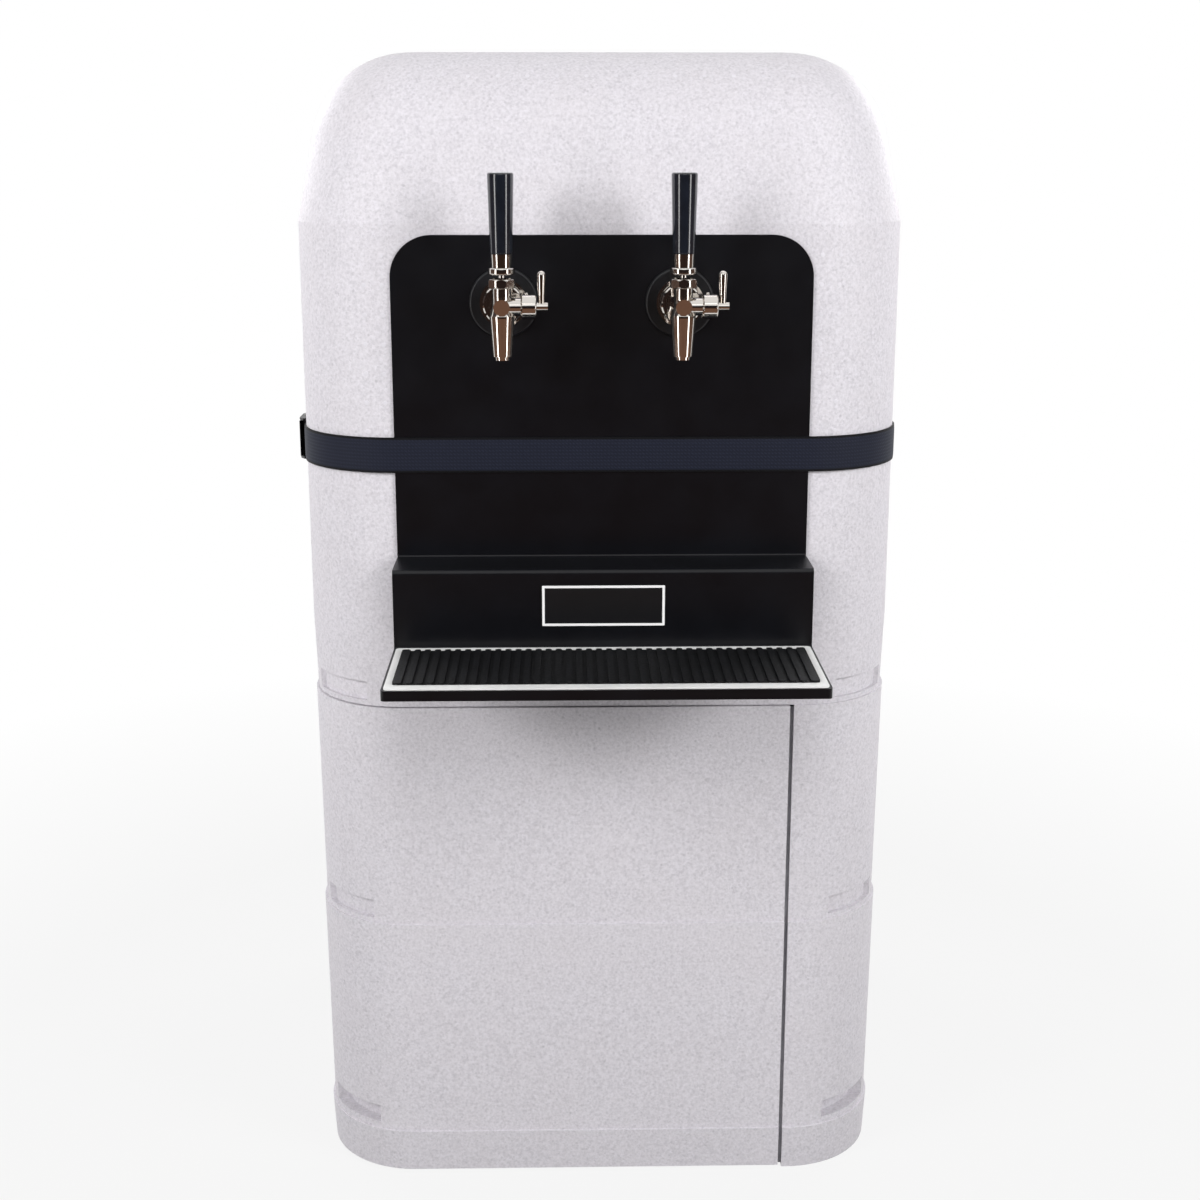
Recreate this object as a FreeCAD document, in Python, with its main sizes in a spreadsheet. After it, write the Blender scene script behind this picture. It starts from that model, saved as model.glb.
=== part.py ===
"""A jockey box: a tall moulded foam cabinet with a font panel, a drip tray and two beer taps on its front.

The origin is the middle of the footprint on the floor. +Z is up, the taps face -Y and +X is to the right.
Every length is in millimetres.
"""
import math
import os

import FreeCAD
import Part
import Sketcher

# Driving sizes, kept in the sheet under these names.
SIZES = {
    # Foam cabinet
    "body_width": 600.0,
    "body_depth": 600.0,
    "body_height": 1165.0,
    "corner_radius": 100.0,
    "wall": 45.0,
    "base_height": 48.0,
    "draft": 2.5,
    "tongue_inset": 12.0,
    "tongue_width": 10.0,
    "tongue_height": 6.0,
    "tongue_gap": 0.3,
    # Finger recesses round the corners, each just above a seam
    "recess_reach": 62.0,
    "recess_rise_low": 7.0,
    "recess_rise": 5.0,
    "recess_height": 20.0,
    "recess_depth_low": 16.0,
    "recess_depth_middle": 8.0,
    "recess_depth_high": 6.5,
    # Hood
    "hood_draft_height": 77.0,
    "lean_height": 161.0,
    "lean_inset": 30.0,
    "crown_radius": 98.0,
    "crown_corner": 18.0,
    "roof_thickness": 55.0,
    "cavity_lean_inset": 40.0,
    # Lift-out lid in the roof
    "hatch_corner": 40.0,
    "lid_inset": 122.0,
    "lid_ledge": 18.0,
    "lid_corner": 55.0,
    "lid_flange": 18.0,
    "lid_plug": 36.0,
    "lid_gap": 1.0,
    "lid_grip_length": 90.0,
    "lid_grip_width": 24.0,
    "lid_grip_depth": 12.0,
    "lid_grip_inset": 14.0,
    "lid_grip_corner": 8.0,
    # Door leaf in the lower front and left side
    "slit_inset": 107.0,
    "slit_width": 4.0,
    "door_side_depth": 200.0,
    "door_joint_gap": 0.25,
    "door_bottom_gap": 2.0,
    "door_top_gap": 1.0,
    "core_gap": 0.5,
    "seal_thickness": 3.7,
    "seal_depth": 12.0,
    "seal_inset": 6.0,
    "seal_end_gap": 3.0,
    # Door hinges
    "hinge_barrel": 4.0,
    "hinge_pin": 2.5,
    "hinge_pin_play": 0.05,
    "hinge_plate": 2.0,
    "hinge_reach": 32.0,
    "hinge_height": 60.0,
    "hinge_knuckle": 20.0,
    "hinge_knuckle_gap": 0.4,
    "hinge_leaf_gap": 3.6,
    "hinge_seat_depth": 3.0,
    "hinge_axis_out": 1.5,
    "hinge_seat_margin": 2.0,
    "hinge_low_rise": 82.0,
    "hinge_high_rise": 122.0,
    "hinge_pin_head": 3.6,
    "hinge_pin_head_height": 1.5,
    # Ice tub and its shelf
    "shelf_inset": 32.0,
    "shelf_thickness": 18.0,
    "shelf_gap": 0.4,
    "tub_side_gap": 20.0,
    "tub_end_gap": 35.0,
    "tub_rim_drop": 104.0,
    "tub_corner": 45.0,
    "tub_taper": 20.0,
    "tub_wall": 4.0,
    "tub_rim_width": 12.0,
    "tub_rim_height": 5.0,
    # Cold plate
    "plate_side_gap": 45.0,
    "plate_end_gap": 55.0,
    "plate_thickness": 38.0,
    "plate_corner": 14.0,
    "plate_edge": 3.0,
    "plate_foot_height": 12.0,
    "plate_foot_width": 30.0,
    "plate_foot_inset": 20.0,
    "stub_inset": 70.0,
    "stub_radius": 4.6,
    "stub_height": 30.0,
    "stub_boss_radius": 9.0,
    "stub_boss_height": 3.0,
    # Beer lines and hose tails
    "line_radius": 6.35,
    "line_bore": 4.75,
    "line_bend": 60.0,
    "line_end_gap": 1.0,
    "tail_radius": 4.6,
    "tail_bore": 3.2,
    "tail_length": 32.0,
    "tail_flange_radius": 8.5,
    "tail_flange": 3.0,
    "barb_rise": 0.1,
    "tail_nut_radius": 14.0,
    "tail_nut_length": 20.0,
    "tail_nut_lip": 3.0,
    "thread_play": 0.1,
    # Inlet fittings through the rear wall
    "inlet_radius": 11.0,
    "inlet_thread_radius": 11.45,
    "inlet_thread_length": 20.0,
    "inlet_flange_radius": 18.0,
    "inlet_flange": 4.0,
    "inlet_inside": 18.0,
    "inlet_tail_length": 77.0,
    "inlet_nut_radius": 17.0,
    "inlet_nut_thickness": 10.0,
    "bore_play": 0.6,
    # Drain
    "drain_rise": 30.0,
    "drain_radius": 11.0,
    "drain_bore": 8.0,
    "drain_flange_radius": 15.0,
    "drain_flange": 3.0,
    "drain_flange_gap": 1.2,
    "drain_outside": 16.0,
    "drain_nut_radius": 17.0,
    "drain_nut_thickness": 7.0,
    "cock_radius": 14.0,
    "cock_length": 46.0,
    "cock_overlap": 6.0,
    "cock_end_radius": 11.5,
    "cock_end_length": 12.0,
    "cock_boss_radius": 7.0,
    "cock_boss_height": 5.0,
    "cock_stem_radius": 3.5,
    "cock_stem_play": 0.05,
    "cock_stem_depth": 5.0,
    "cock_lever_length": 52.0,
    "cock_lever_width": 12.0,
    "cock_lever_thickness": 3.0,
    "cock_hub_thickness": 4.5,
    "cock_lever_gap": 0.3,
    "cock_knob_radius": 8.0,
    # Font panel, ledge and drip tray of one folded sheet
    "panel_inset": 98.0,
    "panel_top_drop": 10.0,
    "panel_corner": 40.0,
    "sheet": 2.0,
    "bend_radius": 2.0,
    "ledge_depth": 60.0,
    "fascia_height": 77.0,
    "tray_rise": 79.5,
    "tray_depth": 140.0,
    "tray_lip": 9.5,
    "tray_corner": 4.0,
    # Mat and plate on the tray and fascia
    "mat_base_thickness": 1.5,
    "mat_base_inset": 2.5,
    "mat_base_back_gap": 2.0,
    "mat_base_corner": 4.0,
    "mat_front_border": 13.7,
    "mat_side_border": 9.5,
    "mat_back_border": 16.0,
    "mat_sheet": 0.7,
    "rib_height": 1.5,
    "rib_width": 5.8,
    "rib_bar": 8.2,
    "rib_edge_gap": 3.8,
    "badge_width": 119.0,
    "badge_height": 41.0,
    "badge_thickness": 1.2,
    "badge_rise": 42.0,
    "badge_corner": 3.0,
    # Strap and its cam buckle
    "strap_width": 34.5,
    "strap_thickness": 1.6,
    "strap_gap": 0.3,
    "buckle_place": 175.0,
    "buckle_length": 44.0,
    "buckle_height": 42.0,
    "buckle_cheek": 2.4,
    "buckle_depth": 7.0,
    "buckle_base": 1.5,
    "buckle_end_depth": 2.5,
    "buckle_chamfer": 8.0,
    "buckle_pin_radius": 1.5,
    "buckle_pin_play": 0.05,
    "buckle_pin_out": 4.6,
    "buckle_pin_back": 10.0,
    "cam_hub": 2.5,
    "cam_length": 30.0,
    "cam_thickness": 2.0,
    "cam_side_gap": 0.5,
    # Taps: places
    "tap_offset": 84.0,
    "tap_shift": 10.0,
    "tap_drop": 63.0,
    "faucet_reach": 52.0,
    "pivot_rise": 10.0,
    # Shank, flange and nuts through the front wall
    "shank_radius": 11.0,
    "shank_bore": 5.0,
    "shank_front": 15.0,
    "shank_inside": 60.0,
    "shank_shoulder_radius": 22.5,
    "shank_shoulder": 3.0,
    "shank_collar_radius": 14.0,
    "shank_collar": 2.4,
    "flange_radius": 33.0,
    "flange_thickness": 5.0,
    "flange_edge": 2.5,
    "shank_nut_radius": 18.0,
    "shank_nut_thickness": 12.0,
    "coupling_radius": 19.0,
    "coupling_back_radius": 16.5,
    "coupling_start": 9.0,
    "coupling_length": 17.0,
    "coupling_lip": 3.3,
    "coupling_play": 0.2,
    "coupling_notch_radius": 1.5,
    # Faucet body
    "barrel_radius": 14.0,
    "barrel_waist": 9.8,
    "barrel_thread_length": 13.0,
    "barrel_gap": 0.3,
    "body_top": 16.9,
    "body_neck_radius": 8.8,
    "body_neck_height": 9.0,
    "body_flare": 40.0,
    "body_bottom": 10.0,
    "body_bottom_radius": 11.7,
    "body_rim": 1.8,
    "body_rim_step": 0.4,
    "boss_radius": 7.6,
    "boss_front": 15.0,
    "shuttle_bore": 5.1,
    "shuttle_bore_front": 9.5,
    "chamber_radius": 8.0,
    "chamber_depth": 8.7,
    "ball_bore": 5.0,
    "ball_bore_rise": 1.0,
    "throat_radius": 6.9,
    "spout_bore": 5.2,
    "flow_neck_radius": 8.25,
    "flow_neck_end": 17.5,
    # Spout
    "spout_length": 39.0,
    "spout_tip_radius": 8.75,
    "spout_step": 1.9,
    "spout_step_height": 3.4,
    # Bonnet ring and lever
    "bonnet_height": 9.0,
    "bonnet_radius": 13.0,
    "bonnet_flat": 12.3,
    "bonnet_edge": 2.2,
    "bonnet_mouth": 10.3,
    "lever_ball": 4.8,
    "lever_finger": 1.6,
    "lever_stem": 3.2,
    "collar_radius": 12.3,
    "collar_rise": 19.4,
    "collar_height": 6.4,
    "collar_edge": 1.6,
    "lever_thread": 22.0,
    # Ferrule and handle
    "ferrule_height": 12.0,
    "ferrule_top_radius": 10.0,
    "ferrule_bottom_radius": 9.4,
    "handle_height": 73.0,
    "handle_bottom_radius": 10.4,
    "handle_top_radius": 12.1,
    "handle_edge": 2.0,
    "handle_bore_play": 0.05,
    "ferrule_gap": 0.2,
    # Shuttle and its seal
    "shuttle_radius": 5.0,
    "shuttle_back": 28.0,
    "shuttle_front": 8.5,
    "slot_half_length": 4.0,
    "slot_half_width": 1.9,
    "slot_depth": 2.5,
    "seal_radius": 7.0,
    "seal_length": 3.5,
    "shuttle_stem": 2.2,
    "shuttle_head": 4.0,
    "shuttle_head_length": 1.2,
    # Flow control
    "flow_radius": 11.5,
    "flow_end": 32.0,
    "flow_edge": 1.5,
    "flow_shaft": 3.0,
    "flow_shaft_play": 0.05,
    "flow_shaft_depth": 12.0,
    "flow_hub": 4.25,
    "flow_hub_end": 42.5,
    "flow_hub_gap": 0.3,
    "flow_lever_place": 36.6,
    "flow_lever_height": 33.0,
    "flow_lever_foot": 2.8,
    "flow_lever_head": 4.2,
    # Cuts run this far past the faces that they break through
    "overrun": 10.0,
}

# The two rings' heights as shares of the body's, and the strap's place between the ledge and the taps
LOWER_RING_SHARE = 240 / 1165
UPPER_RING_SHARE = 238 / 1165
STRAP_SHARE = 0.4085

CROWN_SECTIONS = 6
RIB_COUNT = 38
RIB_CORNER_SHARE = 0.45
BARBS = 3
COUPLING_NOTCHES = 12
BONNET_FLATS = 8
CORNERS = ((1, 1), (-1, 1), (-1, -1), (1, -1))
SIDES = (("left", -1), ("right", 1))
OUTPUT_FOLDER = "parts"
# Two places closer than this are one
PLACE_TOLERANCE = 0.01

document = FreeCAD.newDocument("JockeyBox")


def fill_sheet():
    """Write every size to the sheet, with its name as the alias."""
    sheet = document.addObject("Spreadsheet::Sheet", "Sizes")
    for row, (name, value) in enumerate(SIZES.items(), start=1):
        sheet.set("A%d" % row, name)
        sheet.set("B%d" % row, str(value))
        sheet.setAlias("B%d" % row, name)
    document.recompute()


class Size:
    """A number together with the formula that gives it from the sheet."""

    def __init__(self, value, formula):
        self.value = value
        self.formula = formula

    def combine(self, other, sign, value, swapped=False):
        """The size that an arithmetic sign makes of this one and another."""
        pair = (formula_of(other), self.formula) if swapped else (self.formula, formula_of(other))
        return Size(value, "(%s %s %s)" % (pair[0], sign, pair[1]))

    def __add__(self, other):
        return self.combine(other, "+", self.value + number_of(other))

    def __radd__(self, other):
        return self.combine(other, "+", self.value + number_of(other), swapped=True)

    def __sub__(self, other):
        return self.combine(other, "-", self.value - number_of(other))

    def __rsub__(self, other):
        return self.combine(other, "-", number_of(other) - self.value, swapped=True)

    def __mul__(self, other):
        return self.combine(other, "*", self.value * number_of(other))

    def __rmul__(self, other):
        return self.combine(other, "*", self.value * number_of(other), swapped=True)

    def __truediv__(self, other):
        return self.combine(other, "/", self.value / number_of(other))

    def __neg__(self):
        return Size(-self.value, "(-1 * %s)" % self.formula)


def number_of(item):
    return item.value if isinstance(item, Size) else float(item)


def formula_of(item):
    return item.formula if isinstance(item, Size) else "%.12g" % item


def root(size):
    return Size(math.sqrt(size.value), "sqrt(%s)" % size.formula)


def slope_angle(run, rise):
    """The angle, in degrees, of a line that moves by run over a rise."""
    return Size(math.degrees(math.atan(number_of(run / rise))), "atan(%s)" % formula_of(run / rise))


def sine(angle):
    return Size(math.sin(math.radians(angle.value)), "sin(%s)" % angle.formula)


def cosine(angle):
    return Size(math.cos(math.radians(angle.value)), "cos(%s)" % angle.formula)


def tangent(angle):
    return Size(math.tan(math.radians(angle.value)), "tan(%s)" % angle.formula)


class Sheet:
    """The sheet's sizes by name."""

    def __getattr__(self, name):
        return Size(SIZES[name], "Sizes." + name)


dim = Sheet()
RIGHT_ANGLE = Size(90.0, "90 deg")

half_width = dim.body_width / 2
half_depth = dim.body_depth / 2

# Heights, from the floor up
seam_low = dim.base_height
seam_middle = seam_low + dim.body_height * LOWER_RING_SHARE
seam_high = seam_middle + dim.body_height * UPPER_RING_SHARE
lean_start = dim.body_height - dim.lean_height
shelf_top = seam_high + dim.shelf_thickness
tub_rim = lean_start - dim.tub_rim_drop
plate_underside = shelf_top + dim.tub_wall + dim.plate_foot_height
drain_height = shelf_top + dim.drain_rise
tray_height = seam_high + dim.tray_rise
ledge_height = tray_height + dim.fascia_height
panel_top = lean_start - dim.panel_top_drop
tap_height = panel_top - dim.tap_drop
strap_height = ledge_height + (tap_height - ledge_height) * STRAP_SHARE

# Reach from the middle
hinge_line = half_depth - dim.door_side_depth
slit_place = half_width - dim.slit_inset
half_lid_x, half_lid_y = half_width - dim.lid_inset, half_depth - dim.lid_inset
half_hatch_x, half_hatch_y = half_lid_x - dim.lid_ledge, half_lid_y - dim.lid_ledge
half_tub_x = half_width - dim.wall - dim.tub_side_gap
half_tub_y = half_depth - dim.wall - dim.tub_end_gap
half_plate_x, half_plate_y = half_tub_x - dim.plate_side_gap, half_tub_y - dim.plate_end_gap
stub_place = half_plate_y - dim.stub_inset
half_panel = half_width - dim.panel_inset
panel_face = half_depth + dim.sheet
fascia_face = half_depth + dim.ledge_depth + dim.sheet
tray_front = fascia_face + dim.tray_depth
faucet_place = panel_face + dim.faucet_reach
tap_places = [dim.tap_offset * sign - dim.tap_shift for _, sign in SIDES]


def rounded(x, y, radius):
    """A corner between lines along X and Y, rounded by radius."""
    return (x, y, "round", radius)


def arc_to(x, y, radius):
    """A point that an arc leads to: it turns left where radius is positive, right where negative."""
    return (x, y, "arc", radius)


def toward(start, end):
    """The signs of the step from one point to another."""
    step_x = number_of(end[0]) - number_of(start[0])
    step_y = number_of(end[1]) - number_of(start[1])
    return (round(step_x / max(abs(step_x), abs(step_y))), round(step_y / max(abs(step_x), abs(step_y))))


def vector(x, y):
    return FreeCAD.Vector(number_of(x), number_of(y), 0)


class Drawing:
    """A sketch on one of a body's own planes, held in place by the sheet's sizes."""

    def __init__(self, body, plane, lift):
        self.sketch = body.newObject("Sketcher::SketchObject", body.Name + "Sketch")
        base = [item for item in body.Origin.OriginFeatures if item.Role == plane + "_Plane"][0]
        self.sketch.AttachmentSupport = [(base, "")]
        self.sketch.MapMode = "FlatFace"
        if lift is not None:
            self.sketch.setExpression("AttachmentOffset.Base.z", formula_of(lift))

    def hold(self, kind, *places_and_size):
        """Add a constraint whose value follows the sheet."""
        places, size = places_and_size[:-1], places_and_size[-1]
        index = self.sketch.addConstraint(Sketcher.Constraint(kind, *places, number_of(size)))
        if isinstance(size, Size):
            self.sketch.setExpression("Constraints[%d]" % index, size.formula)

    def outline(self, *corners):
        """Draw a closed loop through the corners."""
        points = []
        for place, corner in enumerate(corners):
            if len(corner) == 2 or corner[2] == "arc":
                points.append(corner)
                continue
            x, y, _, radius = corner
            back = toward(corner, corners[place - 1])
            ahead = toward(corner, corners[(place + 1) % len(corners)])
            turn = back[1] * ahead[0] - back[0] * ahead[1]
            points.append((x + radius * back[0], y + radius * back[1]))
            points.append(arc_to(x + radius * ahead[0], y + radius * ahead[1], radius * turn))
        first = self.sketch.GeometryCount
        ends = []
        edges = []
        for place, point in enumerate(points):
            following = points[(place + 1) % len(points)]
            start, end = vector(*point[:2]), vector(*following[:2])
            if len(following) == 2:
                edges.append(Part.LineSegment(start, end))
                ends.append((1, 2))
                continue
            radius = number_of(following[3])
            chord = end - start
            rise = math.sqrt(max(radius ** 2 - (chord.Length / 2) ** 2, 0))
            side = FreeCAD.Vector(-chord.y, chord.x, 0).normalize() * math.copysign(rise, radius)
            centre = (start + end) / 2 + side
            angles = [math.atan2(spot.y - centre.y, spot.x - centre.x) for spot in (start, end)]
            if radius < 0:
                angles.reverse()
            ends.append((1, 2) if radius > 0 else (2, 1))
            circle = Part.Circle(centre, FreeCAD.Vector(0, 0, 1), abs(radius))
            edges.append(Part.ArcOfCircle(circle, *angles))
        self.sketch.addGeometry(edges, False)
        for place, point in enumerate(points):
            here = first + place
            after = first + (place + 1) % len(points)
            self.sketch.addConstraint(Sketcher.Constraint(
                "Coincident", here, ends[place][1], after, ends[(place + 1) % len(points)][0]))
            self.hold("DistanceX", here, ends[place][0], point[0])
            self.hold("DistanceY", here, ends[place][0], point[1])
            following = points[(place + 1) % len(points)]
            if len(following) > 2:
                size = following[3]
                self.hold("Radius", here, size if number_of(size) > 0 else -size)
        return self

    def rectangle(self, low_x, low_y, high_x, high_y):
        return self.outline((low_x, low_y), (high_x, low_y), (high_x, high_y), (low_x, high_y))

    def rounded_rectangle(self, low_x, low_y, high_x, high_y, radius):
        return self.outline(rounded(low_x, low_y, radius), rounded(high_x, low_y, radius),
                            rounded(high_x, high_y, radius), rounded(low_x, high_y, radius))

    def plan(self, half_x, half_y, radius):
        """A rounded rectangle about the middle."""
        return self.rounded_rectangle(-half_x, -half_y, half_x, half_y, radius)

    def circle(self, x, y, radius):
        shape = Part.Circle(vector(x, y), FreeCAD.Vector(0, 0, 1), number_of(radius))
        index = self.sketch.addGeometry(shape, False)
        self.hold("DistanceX", index, 3, x)
        self.hold("DistanceY", index, 3, y)
        self.hold("Radius", index, radius)
        return self

    def polygon(self, sides, radius):
        """A regular polygon about the middle, radius out to its corners."""
        turns = [2 * math.pi * place / sides for place in range(sides)]
        return self.outline(*[(radius * math.cos(turn), radius * math.sin(turn)) for turn in turns])


class Piece:
    """A body that is built up feature by feature."""

    def __init__(self, label):
        self.body = document.addObject("PartDesign::Body", label)
        self.body.Label = label
        self.body.AllowCompound = True
        self.label = label

    def sketch(self, plane, lift=None):
        return Drawing(self.body, plane, lift)

    def feature(self, kind, drawing, grows, **settings):
        """Add a feature on a sketch, and make sure that it adds or takes material."""
        document.recompute()
        before = 0.0 if self.body.Shape.isNull() else self.body.Shape.Volume
        feature = self.body.newObject("PartDesign::" + kind, self.label + kind)
        feature.Profile = drawing.sketch
        for name, setting in settings.items():
            if isinstance(setting, Size):
                feature.setExpression(name, setting.formula)
            else:
                setattr(feature, name, setting)
        document.recompute()
        change = self.body.Shape.Volume - before
        if change == 0 or (change > 0) != grows:
            raise RuntimeError("%s: %s changes the volume by %g" % (self.label, feature.Name, change))
        return feature

    def pad(self, drawing, length, down=False, both=False, taper=None):
        settings = {"Length": length, "Reversed": down}
        if both:
            settings["SideType"] = "Symmetric"
        if taper is not None:
            settings["TaperAngle"] = taper
        return self.feature("Pad", drawing, True, **settings)

    def pocket(self, drawing, length, up=False, both=False, taper=None):
        settings = {"Length": length, "Reversed": up}
        if both:
            settings["SideType"] = "Symmetric"
        if taper is not None:
            settings["TaperAngle"] = taper
        return self.feature("Pocket", drawing, False, **settings)

    def turn(self, drawing, axis="V_Axis"):
        return self.feature("Revolution", drawing, True, ReferenceAxis=(drawing.sketch, [axis]))

    def bore(self, drawing, axis="V_Axis"):
        return self.feature("Groove", drawing, False, ReferenceAxis=(drawing.sketch, [axis]))

    def loft(self, drawings, ruled):
        sections = [drawing.sketch for drawing in drawings[1:]]
        return self.feature("AdditiveLoft", drawings[0], True, Sections=sections, Ruled=ruled)

    def sweep(self, drawing, spine):
        return self.feature("AdditivePipe", drawing, True, Spine=(spine.sketch, [""]))

    def repeat(self, feature, axis, length, count):
        """Repeat a feature along an axis of its sketch."""
        pattern = self.body.newObject("PartDesign::LinearPattern", self.label + "Pattern")
        pattern.Originals = [feature]
        pattern.Direction = (feature.Profile[0], [axis])
        pattern.setExpression("Length", length.formula)
        pattern.Occurrences = count
        self.body.Tip = pattern
        document.recompute()
        return pattern

    def repeat_round(self, feature, axis, count):
        """Repeat a feature round an axis of its sketch."""
        pattern = self.body.newObject("PartDesign::PolarPattern", self.label + "Pattern")
        pattern.Originals = [feature]
        pattern.Axis = (feature.Profile[0], [axis])
        pattern.Angle = 360
        pattern.Occurrences = count
        self.body.Tip = pattern
        document.recompute()
        return pattern

    def fillet(self, radius, wanted):
        """Round the edges that a test picks by their bounding box."""
        document.recompute()
        tip = self.body.Tip
        names = ["Edge%d" % (place + 1) for place, edge in enumerate(tip.Shape.Edges)
                 if wanted(edge.BoundBox)]
        if not names:
            raise RuntimeError("%s: no edge to round" % self.label)
        feature = self.body.newObject("PartDesign::Fillet", self.label + "Fillet")
        feature.Base = (tip, names)
        feature.setExpression("Radius", radius.formula)
        document.recompute()
        return feature

    def place(self, x=0, y=0, z=0, turn=None):
        """Put the body's origin at a point, turned about an axis by an angle in degrees."""
        if turn is not None:
            axis, angle = turn
            self.body.Placement = FreeCAD.Placement(FreeCAD.Vector(), FreeCAD.Rotation(axis, angle))
        for name, size in (("x", x), ("y", y), ("z", z)):
            if isinstance(size, Size):
                self.body.setExpression("Placement.Base." + name, size.formula)
        return self.body


X_AXIS = FreeCAD.Vector(1, 0, 0)
Y_AXIS = FreeCAD.Vector(0, 1, 0)
FORWARD = (X_AXIS, 90)
BACKWARD = (X_AXIS, -90)
RIGHTWARD = (Y_AXIS, 90)

exported = []


def near(value, size):
    """Whether a coordinate of the built shape is at a size's place."""
    return abs(value - number_of(size)) < PLACE_TOLERANCE


def on_side(box, half_span):
    """Whether an edge lies in one of the upright planes half_span left and right of the middle."""
    return near(abs(box.XMin), half_span) and near(box.XMax, box.XMin)


def keep(item):
    """Put an object on the list of pieces to write."""
    exported.append(item)
    return item


def group(label, members):
    """Several solids of one kind under one name."""
    item = document.addObject("Part::Compound", label)
    item.Label = label
    item.Links = members
    return keep(item)


def boolean(kind, label, base, tool):
    item = document.addObject("Part::" + kind, label)
    item.Label = label
    item.Base = base
    item.Tool = tool
    return keep(item)


# Foam mouldings

def plan_of_body(drawing, inset):
    """The cabinet's plan, drawn in by inset, with its corners about the same centres."""
    return drawing.plan(half_width - inset, half_depth - inset, dim.corner_radius - inset)


def add_tongue(piece, seam):
    """The rib on a moulding's top that finds the next one."""
    drawing = piece.sketch("XY", seam)
    plan_of_body(drawing, dim.tongue_inset)
    plan_of_body(drawing, dim.tongue_inset + dim.tongue_width)
    piece.pad(drawing, dim.tongue_height)


def cut_tongue_groove(piece, seam):
    """The groove under a moulding that the tongue below it enters."""
    drawing = piece.sketch("XY", seam)
    plan_of_body(drawing, dim.tongue_inset - dim.tongue_gap)
    plan_of_body(drawing, dim.tongue_inset + dim.tongue_width + dim.tongue_gap)
    piece.pocket(drawing, dim.tongue_height + dim.tongue_gap, up=True)


def cut_finger_recesses(piece, bottom, depth):
    """Hand holds that wrap round the four corners between two upright end walls."""
    drawing = piece.sketch("XY", bottom)
    radius = dim.corner_radius - depth
    rise = dim.corner_radius - dim.recess_reach
    touch = root(radius * radius - rise * rise)
    for sign_x, sign_y in CORNERS:
        centre_x = (half_width - dim.corner_radius) * sign_x
        centre_y = (half_depth - dim.corner_radius) * sign_y
        out_x = (half_width + dim.overrun) * sign_x
        out_y = (half_depth + dim.overrun) * sign_y
        end_x = (half_width - dim.recess_reach) * sign_x
        end_y = (half_depth - dim.recess_reach) * sign_y
        drawing.outline((end_x, out_y), (out_x, out_y), (out_x, end_y),
                        (centre_x + touch * sign_x, end_y),
                        arc_to(end_x, centre_y + touch * sign_y, radius * sign_x * sign_y))
    piece.pocket(drawing, dim.recess_height, up=True)


def cut_hinge_seats(piece, height):
    """A shallow seat in the left wall for both leaves of one hinge."""
    seat = half_width - dim.hinge_seat_depth
    drawing = piece.sketch("YZ", -seat)
    reach = dim.hinge_reach + dim.hinge_seat_margin
    rise = dim.hinge_height / 2 + dim.hinge_pin_head_height + dim.hinge_knuckle_gap
    drawing.rectangle(-hinge_line - reach, height - rise, reach - hinge_line, height + rise)
    piece.pocket(drawing, dim.hinge_seat_depth + dim.overrun)


def moulding_block(label, bottom, height):
    """A solid block of the body's plan that narrows a little towards its foot."""
    piece = Piece(label)
    top = plan_of_body(piece.sketch("XY", bottom + height), 0)
    piece.pad(top, height, down=True, taper=-slope_angle(dim.draft, height))
    return piece


def base_block():
    """The base as one closed slab, before the door is parted from it."""
    piece = moulding_block("base_block", 0, dim.base_height)
    add_tongue(piece, seam_low)
    return piece.body


def ring_block(label, bottom, top, recess_rise, recess_depth, hinge_place):
    """A ring of the cabinet's wall, before the door is parted from it."""
    piece = moulding_block(label, bottom, top - bottom)
    piece.pocket(plan_of_body(piece.sketch("XY", top), dim.wall), top - bottom)
    add_tongue(piece, top)
    cut_tongue_groove(piece, bottom)
    cut_finger_recesses(piece, bottom + recess_rise, recess_depth)
    cut_hinge_seats(piece, hinge_place)
    return piece.body


def door_region(label, bottom, top, right, back, core_inset):
    """The space outside the cabinet's core, round its left front corner."""
    piece = Piece(label)
    drawing = piece.sketch("XY", bottom)
    drawing.rectangle(-half_width - dim.overrun, -half_depth - dim.overrun, right, back)
    piece.pad(drawing, top - bottom)
    piece.pocket(plan_of_body(piece.sketch("XY", top), core_inset), top - bottom)
    return piece.body


def part_mouldings():
    """Part the door leaf from the base and both rings."""
    leaf = door_region("door_space", dim.door_bottom_gap, seam_high - dim.door_top_gap,
                       slit_place - dim.slit_width / 2, -hinge_line, dim.wall)
    doorway = door_region("doorway_space", -dim.overrun, seam_high + dim.overrun,
                          slit_place + dim.slit_width / 2, dim.door_joint_gap - hinge_line,
                          dim.wall + dim.core_gap)
    lower = ring_block("lower_block", seam_low, seam_middle, dim.recess_rise_low, dim.recess_depth_low,
                       seam_low + dim.hinge_low_rise)
    upper = ring_block("upper_block", seam_middle, seam_high, dim.recess_rise, dim.recess_depth_middle,
                       seam_middle + dim.hinge_high_rise)
    blocks = (("base_moulding", "door_base", base_block()), ("lower_ring", "door_lower", lower),
              ("upper_ring", "door_upper", upper))
    for fixed_label, door_label, block in blocks:
        boolean("Cut", fixed_label, block, doorway)
        boolean("Common", door_label, block, leaf)


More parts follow.
